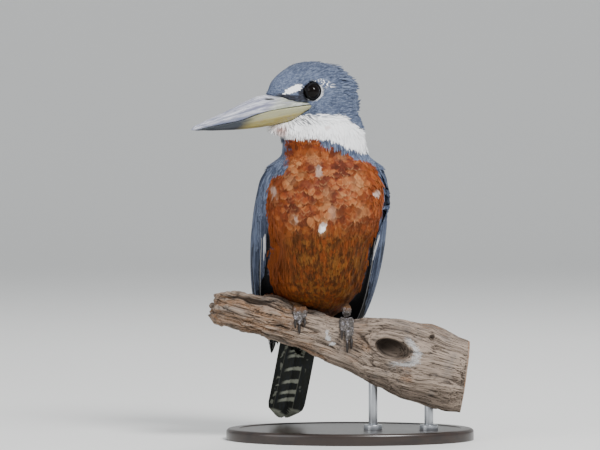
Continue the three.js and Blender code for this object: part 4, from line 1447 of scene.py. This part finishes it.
class FeetOperator(bpy.types.Operator):
    """Scaly feet that grip the driftwood, and their claws"""

    bl_idname = "kingfisher.feet"
    bl_label = "Feet"

    def execute(self, context):
        horn = settings("horn")
        scales = self.scale_material(horn)
        nail = self.claw_material(horn)
        middle = places(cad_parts["perch"].data).mean(0)
        for side in SIDES:
            nodes = (f"tarsus_{side}",) + tuple(f"toe_{side}_{toe}" for toe in TOES)
            mesh = remeshed(nodes, FOOT_GROWN * MM, 0.45 * MM, 9, "foot", keep_all=True)
            points = places(mesh)
            turn = np.arctan2(points[:, 2] - middle[2] - GRIP_RISE, points[:, 1] - middle[1])
            scutes = 0.14 * np.cos(turn * SCUTES) + 0.12 * noises(points / MM * 0.9, 1)
            knuckles = 0.4 * np.cos(turn * KNUCKLES) ** 2
            tucked = FOOT_SHRUNK + 1.8 * step(points[:, 2] / MM, 103, 109) * (side == "left")
            set_places(mesh, points + normals(mesh) * ((scutes + knuckles - tucked)[:, None]) * MM)
            mesh = modified(mesh, ("SMOOTH", {"factor": 0.5, "iterations": 1}))
            new_piece(f"foot_{side}", mesh, scales, nodes)
            claws = tuple(f"claw_{side}_{toe}" for toe in TOES)
            parts = [modified(
                mesh_of(solid_copy((name,), 0.1 * MM), "claw"),
                ("REMESH", {"mode": "VOXEL", "voxel_size": 0.25 * MM}),
                ("SMOOTH", {"factor": 0.5, "iterations": 6}),
            ) for name in claws]
            joined = bmesh.new()
            for part in parts:
                joined.from_mesh(part)
            new_piece(f"claws_{side}", mesh_of(joined, "claws"), nail, claws)
        return {"FINISHED"}

    @staticmethod
    def scale_material(horn):
        finish = Finish("foot_skin")
        place = finish.object_place()
        inputs = {"Vector": place, "Scale": 520}
        cells = finish.node("ShaderNodeTexVoronoi", {"feature": "DISTANCE_TO_EDGE"}, inputs)
        grime = finish.noise(place, 330, 3)
        base = finish.mix(step(grime, 0.42, 0.62) * 0.7, horn.foot, tuple(c * 0.35 for c in horn.foot))
        base = finish.mix(step(1 - grime, 0.5, 0.66) * 0.55, base, horn.upper)
        base = finish.mix((1 - step(cells, 0.02, 0.16)) * 0.75, base, horn.claw)
        height = finish.split(finish.millimetres(place))[2]
        feathered = step(height + (grime - 0.5) * 6, *LEG_TOP)
        base = finish.mix(feathered * 0.8, base, tuple(c * 0.6 for c in settings("plumage").golden))
        inputs = {"Base Color": base, "Roughness": 0.6,
                  "Normal": finish.bump(step(cells, 0, 0.2), 0.3 * MM, 0.9)}
        return finish.surface(inputs)

    @staticmethod
    def claw_material(horn):
        finish = Finish("claw_horn")
        grain = finish.noise(finish.object_place(), 700, 2)
        base = finish.mix(grain * 0.15, horn.claw, horn.foot)
        inputs = {"Base Color": base, "Roughness": 0.35, "Specular IOR Level": 0.3,
                  "Normal": finish.bump(grain, 0.1 * MM, 0.4)}
        return finish.surface(inputs)


# ---- Driftwood and stand --------------------------------------------------------------------------

PERCH_SLOPE = math.radians(15)  # the driftwood drops towards the bird's left
# Places and sizes on the driftwood, in millimetres.
GRAIN = Vector((math.cos(PERCH_SLOPE), 0, -math.sin(PERCH_SLOPE)))
PERCH_UP = Vector((math.sin(PERCH_SLOPE), 0, math.cos(PERCH_SLOPE)))
KNOT = Vector((48.5, -28.5, 74))
KNOT_HALF = (15, 8)  # along the grain and across it
SMALL_HOLE = Vector((80, -26, 83))
GRIPS = (-23.5, 12.8)  # X of the two feet
SAW_SLOPE = 0.126  # how far the saw cut leans out for each step up
SPLINTER = 7  # reach of the splinters of the broken end, along the grain
SAWN = 106  # X of the saw cut where the pith meets it
PITH_HEIGHT = 55
DROPPINGS = (  # (x, z) and half-sizes
    ((-1.6, 81.5), (2.2, 2.4)), ((-2.6, 86), (1.0, 2.6)), ((1.2, 77), (2.0, 1.2)),
)


def around_knot(along, high_up, front):
    """Height across the grain, bent so that it flows round the knot on the front, and how near that is."""
    u = (along - KNOT.dot(GRAIN)) / 34
    d = high_up - KNOT.dot(PERCH_UP)
    near = power_of_e(-(u * u + d * d / 400)) * front
    return d * (1 - near * 0.72), near


class PerchOperator(bpy.types.Operator):
    """A sawn length of weathered driftwood with furrows, a knot hole and a broken end"""

    bl_idname = "kingfisher.perch"
    bl_label = "Perch"

    def execute(self, context):
        mesh = remeshed(("perch",), 0.2 * MM, 0.8 * MM, 5, "driftwood")
        points, outward = places(mesh), normals(mesh)
        raised, crevices = self.relief(points / MM, outward)
        splintered = (1 - step(points[:, 0] / MM, -92, -80)) * noises(points / MM * (0, 0.22, 0.3), 9)
        torn = np.outer(splintered, GRAIN) * SPLINTER
        set_places(mesh, points + (outward * raised[:, None] + torn) * MM)
        # The ridges and furrows are kept for the material's painted shade in the furrows and painted
        # highlight on the ridges.
        set_attribute(mesh, "crevices", crevices)
        new_piece("driftwood", mesh, driftwood_material(), ("perch",))
        return {"FINISHED"}

    @staticmethod
    def relief(points, outward):
        """How far each vertex is raised, in millimetres, and how much of that is ridges and furrows."""
        x, y, z = points.T
        along, high_up = points @ np.array(GRAIN), points @ np.array(PERCH_UP)
        across, near = around_knot(along, high_up, 1 - step(y, -14, 0))

        def grain(stretch, fineness, seed):
            wander = noises(np.stack([along * 0.02, y * 0.03, across * 0.03], 1), seed + 20) * 4
            place = (along * stretch, (y + wander) * fineness, (across + wander) * fineness)
            return noises(np.stack(place, 1), seed)

        long_ridges = 1 - 2.6 * np.abs(grain(0.012, 0.11, 1))
        furrows = bell(grain(0.016, 0.16, 2), 0.07)
        fine_furrows = bell(grain(0.03, 0.4, 3), 0.12)
        splinters = grain(0.05, 0.8, 4)
        lumps = noises(points * 0.055, 5)
        plates = step(lumps + 0.35 * grain(0.03, 0.2, 6) + 0.1 * splinters, -0.03, 0.03)

        weathered = 1.25 - 0.7 * step(x, 0, 45)
        near_foot = sum(bell(x - grip, 9) for grip in GRIPS)
        crevices = weathered * (1.1 * long_ridges - 1.7 * furrows - 0.6 * fine_furrows + 0.35 * splinters)
        raised = crevices + 1.0 * lumps + 1.1 * plates * (1 - step(x, -10, 20)) - 0.6
        raised = raised * (1 - 0.75 * np.clip(near_foot, 0, 1))

        off_knot = knot_distance(x, z)
        front = 1 - step(y, -14, -4)
        rim = 1.5 * bell(off_knot - 1.22, 0.2) - 0.8 * bell(off_knot - 0.6, 0.4)
        raised = raised * (1 - 0.7 * near * step(1.6 - off_knot, 0, 0.5)) + rim * front
        from_hole = np.hypot(x - SMALL_HOLE.x, z - SMALL_HOLE.z)
        raised = raised - 3.2 * bell(from_hole, 1.9) * front
        sawn = step(np.abs(outward[:, 0]), 0.8, 0.95) * step(x, 70, 90)
        broken = 1 - step(x, -90, -78)
        return raised * (1 - sawn) + broken * 2.2 * noises(points * 0.24, 8), crevices * (1 - sawn)


def knot_distance(x, z):
    """1 on the rim of the knot hole, less inside it."""
    tilt = math.radians(18)
    u = ((x - KNOT.x) * math.cos(tilt) - (z - KNOT.z) * math.sin(tilt)) / KNOT_HALF[0]
    v = ((x - KNOT.x) * math.sin(tilt) + (z - KNOT.z) * math.cos(tilt)) / KNOT_HALF[1]
    return root_of(u * u + v * v)


def driftwood_material():
    finish = Finish("driftwood")
    wood = settings("perch")
    point = finish.millimetres(finish.object_place())
    x, y, z = finish.split(point)
    along, high_up = (finish.vector("DOT_PRODUCT", point, tuple(axis), 1) for axis in (GRAIN, PERCH_UP))
    front = 1 - step(y, -14, 0)
    across, _ = around_knot(along, high_up, front)
    crevices = finish.attribute("crevices")

    place = finish.node("ShaderNodeCombineXYZ", {}, {0: along * 0.035, 1: y, 2: across})
    lines = finish.noise(place, 1.1, 4, 0.7)
    bands = finish.noise(place, 0.22, 3, 0.6)
    patch = finish.noise(point, 0.03, 3, 0.6)
    speck = finish.noise(point, 0.9, 3, 0.7)

    worn = step(patch + 0.2 * (bands - 0.5) - step(x, -30, 60) * 0.12, 0.42, 0.56)
    base = finish.mix(step(bands, 0.4, 0.6), wood.wood, wood.pale)
    base = finish.mix(worn * step(bands, 0.36, 0.6) * 0.85, base, wood.ochre)
    base = finish.mix(step(lines, 0.5, 0.64) * 0.75, base, wood.pale)
    base = finish.mix(step(1 - lines, 0.5, 0.6) * 0.85, base, wood.crack_and_shade)
    base = finish.mix(step(finish.noise(point, 0.06, 3, 0.6), 0.5, 0.66) * 0.4, base, wood.grey)
    base = finish.mix(step(speck, 0.58, 0.7) * 0.25, base, wood.pale)
    # Painted shade: the furrows of the relief are darkened.
    base = finish.mix((1 - step(crevices, -1.7, 0.0)) * 0.85, base, wood.crack_and_shade)
    # Painted highlight: the raised ridges of the relief are lightened.
    base = finish.mix(step(crevices, 0.4, 1.3) * 0.5, base, wood.pale)
    end = 1 - step(x, -90, -66)
    base = finish.mix(end * step(bands, 0.4, 0.6) * 0.6, base, wood.ochre)
    base = finish.mix(end * step(1 - speck, 0.5, 0.66) * 0.5, base, wood.crack_and_shade)

    off_knot = knot_distance(x, z)
    # Painted shade: the inside of the knot hole is darkened, and darker still under its upper-left rim as a
    # painted shadow.
    hole = (1 - step(off_knot, 0.75, 1.04)) * front
    shaded = step((z - KNOT.z) * 0.8 - (x - KNOT.x) * 0.35 + (bands - 0.5) * 16, -6, 4)
    base = finish.mix(hole * (0.5 + 0.42 * shaded), base, wood.crack_and_shade)
    ragged = (speck - 0.5) * 1.1 + (bands - 0.5) * 0.9
    rim = (1 - step(abs(off_knot + ragged - 1.38), 0.04, 0.3)) * front
    rim = rim * (0.6 + 0.4 * step(lines, 0.4, 0.6)) * step(x - KNOT.x - 0.7 * (z - KNOT.z), 2, 12)
    base = finish.mix(rim * 0.68, base, wood.bleached)
    for centre, half in DROPPINGS:
        dropping = spot(x + ragged * 6, z + ragged * 5, centre, half, 0.9) * front
        base = finish.mix(dropping * 0.7, base, wood.bleached)
    # Painted shade: the small hole is painted near black inside.
    small_hole = spot(x, z, (SMALL_HOLE.x, SMALL_HOLE.z), (2.2, 1.8), 0.6) * front
    base = finish.mix(small_hole * 0.9, base, wood.crack_and_shade)

    over_pith = z - PITH_HEIGHT
    from_pith = root_of(y * y + over_pith * over_pith)
    rings = finish.noise(finish.node("ShaderNodeCombineXYZ", {}, {0: from_pith}), 0.5, 2)
    sawn = step(x - SAW_SLOPE * over_pith - SAWN, -0.2, 0.4)
    base = finish.mix(sawn, base, finish.mix(step(rings, 0.4, 0.6), wood.pale, wood.ochre))
    height = lines * 0.7 + bands * 0.8 + speck * 0.25
    inputs = {"Base Color": base, "Roughness": 0.88, "Specular IOR Level": 0.15,
              "Normal": finish.bump(height, 1.6 * MM, 0.9)}
    return finish.surface(inputs)


PLINTH_BEVEL = 3 * MM
PLINTH_RIM = 7 * MM
PLINTH_SINK = 0.6 * MM  # of the top inside the rim
COLLAR_WIDTH = 2.1  # times as wide as its rod
COLLAR_HEIGHT = 3.5 * MM
SMOOTH_ANGLE = math.radians(35)


class StandOperator(bpy.types.Operator):
    """Turned base and two steel rods that hold the driftwood up"""

    bl_idname = "kingfisher.stand"
    bl_label = "Stand"

    def execute(self, context):
        wood = settings("perch")
        low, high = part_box("stand_base")
        centre = (low + high) / 2
        half_x, half_y, tall = (high.x - low.x) / 2, (high.y - low.y) / 2, high.z - low.z
        base = bmesh.new()
        bmesh.ops.create_circle(base, cap_ends=True, segments=128, radius=half_x)
        made = bmesh.ops.extrude_face_region(base, geom=base.faces[:])["geom"]
        bmesh.ops.translate(base, vec=(0, 0, tall), verts=vertices_in(made))
        rim = [edge for edge in base.edges if all(vertex.co.z > tall / 2 for vertex in edge.verts)]
        bmesh.ops.bevel(
            base, geom=rim, offset=PLINTH_BEVEL, segments=6, profile=0.5, material=-1, affect="EDGES",
        )
        top = max(base.faces, key=lambda face: face.calc_area() * (face.normal.z > 0.5))
        bmesh.ops.inset_region(base, faces=[top], thickness=PLINTH_RIM, depth=0.0)
        bmesh.ops.inset_region(base, faces=[top], thickness=0.8 * MM, depth=-PLINTH_SINK)
        bmesh.ops.scale(base, vec=(1, half_y / half_x, 1), verts=base.verts)
        bmesh.ops.translate(base, vec=(centre.x, centre.y, low.z), verts=base.verts)
        bmesh.ops.recalc_face_normals(base, faces=base.faces)
        material = self.plinth_material(wood)
        plinth = new_piece("plinth", mesh_of(base, "plinth"), material, ("stand_base",))
        plinth.data.set_sharp_from_angle(angle=SMOOTH_ANGLE)
        rods = bmesh.new()
        names = ("stand_rod_1", "stand_rod_2")
        for name in names:
            low_rod, high_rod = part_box(name)
            self.add_rod(rods, (low_rod + high_rod) / 2, (high_rod.x - low_rod.x) / 2, high.z, high_rod.z)
        steel = new_piece("rods", mesh_of(rods, "rods"), self.steel_material(wood), names)
        steel.data.set_sharp_from_angle(angle=SMOOTH_ANGLE)
        return {"FINISHED"}

    @staticmethod
    def add_rod(shape, centre, radius, foot, head):
        """A rod that runs into the plinth and the driftwood, and the collar round its foot."""
        start = foot - 1 * MM
        for wide, end in ((radius, head + 1.5 * MM), (radius * COLLAR_WIDTH, foot + COLLAR_HEIGHT)):
            made = bmesh.ops.create_cone(
                shape, cap_ends=True, segments=64, radius1=wide, radius2=wide, depth=end - start,
            )["verts"]
            bmesh.ops.translate(shape, vec=(centre.x, centre.y, (start + end) / 2), verts=made)
            rims = {
                edge for vertex in made for edge in vertex.link_edges
                if abs(edge.verts[0].co.z - edge.verts[1].co.z) < 1e-6
            }
            bmesh.ops.bevel(
                shape, geom=list(rims), offset=0.5 * MM, segments=3, profile=0.5, material=-1,
                affect="EDGES",
            )

    @staticmethod
    def plinth_material(wood):
        finish = Finish("plinth")
        place = finish.vector("MULTIPLY", finish.object_place(), (12, 160, 160))
        grain = finish.noise(place, 1.0, 4, 0.6)
        base = finish.mix(step(grain, 0.35, 0.7), wood.plinth, tuple(c * 0.45 for c in wood.plinth))
        inputs = {"Base Color": base, "Roughness": 0.32, "Coat Weight": 0.4, "Coat Roughness": 0.2,
                  "Normal": finish.bump(grain, 0.15 * MM, 0.3)}
        return finish.surface(inputs)

    @staticmethod
    def steel_material(wood):
        finish = Finish("steel")
        place = finish.vector("MULTIPLY", finish.object_place(), (900, 900, 30))
        brushed = finish.noise(place, 1.0, 2)
        inputs = {"Base Color": wood.steel, "Metallic": 1.0, "Roughness": 0.24 + brushed * 0.16,
                  "Normal": finish.bump(brushed, 0.02 * MM, 0.3)}
        return finish.surface(inputs)


# ---- Stage ----------------------------------------------------------------------------------------

AIM = Vector((-23.6, 0, 170)) * MM  # middle of the view
VIEW_WIDTH = 472.4 * MM  # across the picture, at the aim
CAMERA_DISTANCE = 3.2
CAMERA_RISE = math.radians(2)  # it looks slightly down


LIGHTS = (  # name, place and size
    ("key", (0.75, -1.25, 1.55), 0.7), ("fill", (-1.5, -1.3, 0.9), 1.4), ("back", (0.2, 1.3, 1.7), 1.0),
)
SKY_COLOUR = (0.92, 0.95, 1.0, 1)


class StageOperator(bpy.types.Operator):
    """Pale floor that curves up into a backdrop, soft lights and the camera"""

    bl_idname = "kingfisher.stage"
    bl_label = "Stage"

    def execute(self, context):
        stage = settings("stage")
        self.add_backdrop(stage)
        for name, place, size in LIGHTS:
            self.add_light(name, Vector(place), size, getattr(stage, name))
        world = bpy.data.worlds.new("sky")
        world.use_nodes = True
        background = world.node_tree.nodes["Background"]
        background.inputs["Color"].default_value = SKY_COLOUR
        background.inputs["Strength"].default_value = stage.sky
        context.scene.world = world
        self.add_camera(context)
        return {"FINISHED"}

    @staticmethod
    def add_backdrop(stage):
        """A sheet swept along X: flat to the back, then a quarter turn up."""
        shape = bmesh.new()
        wide, front, back, turn_radius, tall = 8.0, -6.0, 3.0, 1.5, 6.0
        outline = [(front, 0.0)]
        for degrees in range(0, 91, 6):
            angle = math.radians(degrees)
            outline.append((back + turn_radius * math.sin(angle), turn_radius * (1 - math.cos(angle))))
        outline.append((back + turn_radius, tall))
        line = [shape.verts.new((-wide, y, z)) for y, z in outline]
        edges = [shape.edges.new(pair) for pair in zip(line, line[1:])]
        made = bmesh.ops.extrude_edge_only(shape, edges=edges)["geom"]
        bmesh.ops.translate(shape, vec=(2 * wide, 0, 0), verts=vertices_in(made))
        bmesh.ops.recalc_face_normals(shape, faces=shape.faces)
        mesh = mesh_of(shape, "backdrop")
        finish = Finish("backdrop")
        mottle = finish.noise(finish.object_place(), 3, 2)
        base = finish.mix(mottle * 0.1, stage.floor, tuple(c * 0.8 for c in stage.floor))
        mesh.materials.append(finish.surface({"Base Color": base, "Roughness": 0.9}))
        mesh.shade_smooth()
        backdrop = bpy.data.objects.new("backdrop", mesh)
        bpy.context.scene.collection.objects.link(backdrop)

    @staticmethod
    def add_light(name, place, size, watts):
        light = bpy.data.lights.new(name, "AREA")
        light.shape = "DISK"
        light.size = size
        light.energy = watts
        lamp = bpy.data.objects.new(name, light)
        lamp.location = place
        lamp.rotation_euler = (AIM - place).to_track_quat("-Z", "Y").to_euler()
        bpy.context.scene.collection.objects.link(lamp)

    @staticmethod
    def add_camera(context):
        camera = bpy.data.cameras.new("camera")
        camera.sensor_width = 36
        camera.lens = camera.sensor_width * CAMERA_DISTANCE / VIEW_WIDTH
        camera.clip_end = 50
        holder = bpy.data.objects.new("camera", camera)
        back = Vector((0, -math.cos(CAMERA_RISE), math.sin(CAMERA_RISE)))
        holder.location = AIM + back * CAMERA_DISTANCE
        holder.rotation_euler = (-back).to_track_quat("-Z", "Y").to_euler()
        context.scene.collection.objects.link(holder)
        context.scene.camera = holder


# ---- Add-on ---------------------------------------------------------------------------------------

GROUPS = {
    "plumage": PlumageSettings, "horn": HornSettings, "perch": PerchSettings, "stage": StageSettings,
}
OPERATORS = (
    StageOperator, StandOperator, PerchOperator, FeetOperator, BillOperator, EyesOperator, SkinOperator,
    CoatOperator, WingsOperator, TailOperator,
)


class KingfisherPanel(bpy.types.Panel):
    """Makes each piece of the kingfisher"""

    bl_idname = "VIEW3D_PT_kingfisher"
    bl_label = "Kingfisher"
    bl_space_type = "VIEW_3D"
    bl_region_type = "UI"
    bl_category = "Kingfisher"

    def draw(self, context):
        for operator in OPERATORS:
            self.layout.operator(operator.bl_idname)
        for group in GROUPS:
            box = self.layout.box()
            box.label(text=group.title())
            for name in GROUPS[group].__annotations__:
                box.prop(settings(group), name)


def register():
    for group, kind in GROUPS.items():
        bpy.utils.register_class(kind)
        setattr(bpy.types.Scene, "kingfisher_" + group, PointerProperty(type=kind))
    for kind in (*OPERATORS, KingfisherPanel):
        bpy.utils.register_class(kind)


def unregister():
    for kind in (KingfisherPanel, *reversed(OPERATORS)):
        bpy.utils.unregister_class(kind)
    for group, kind in GROUPS.items():
        delattr(bpy.types.Scene, "kingfisher_" + group)
        bpy.utils.unregister_class(kind)


def main():
    register()
    for operator in OPERATORS:
        space, name = operator.bl_idname.split(".")
        getattr(getattr(bpy.ops, space), name)()


if __name__ == "__main__":
    main()
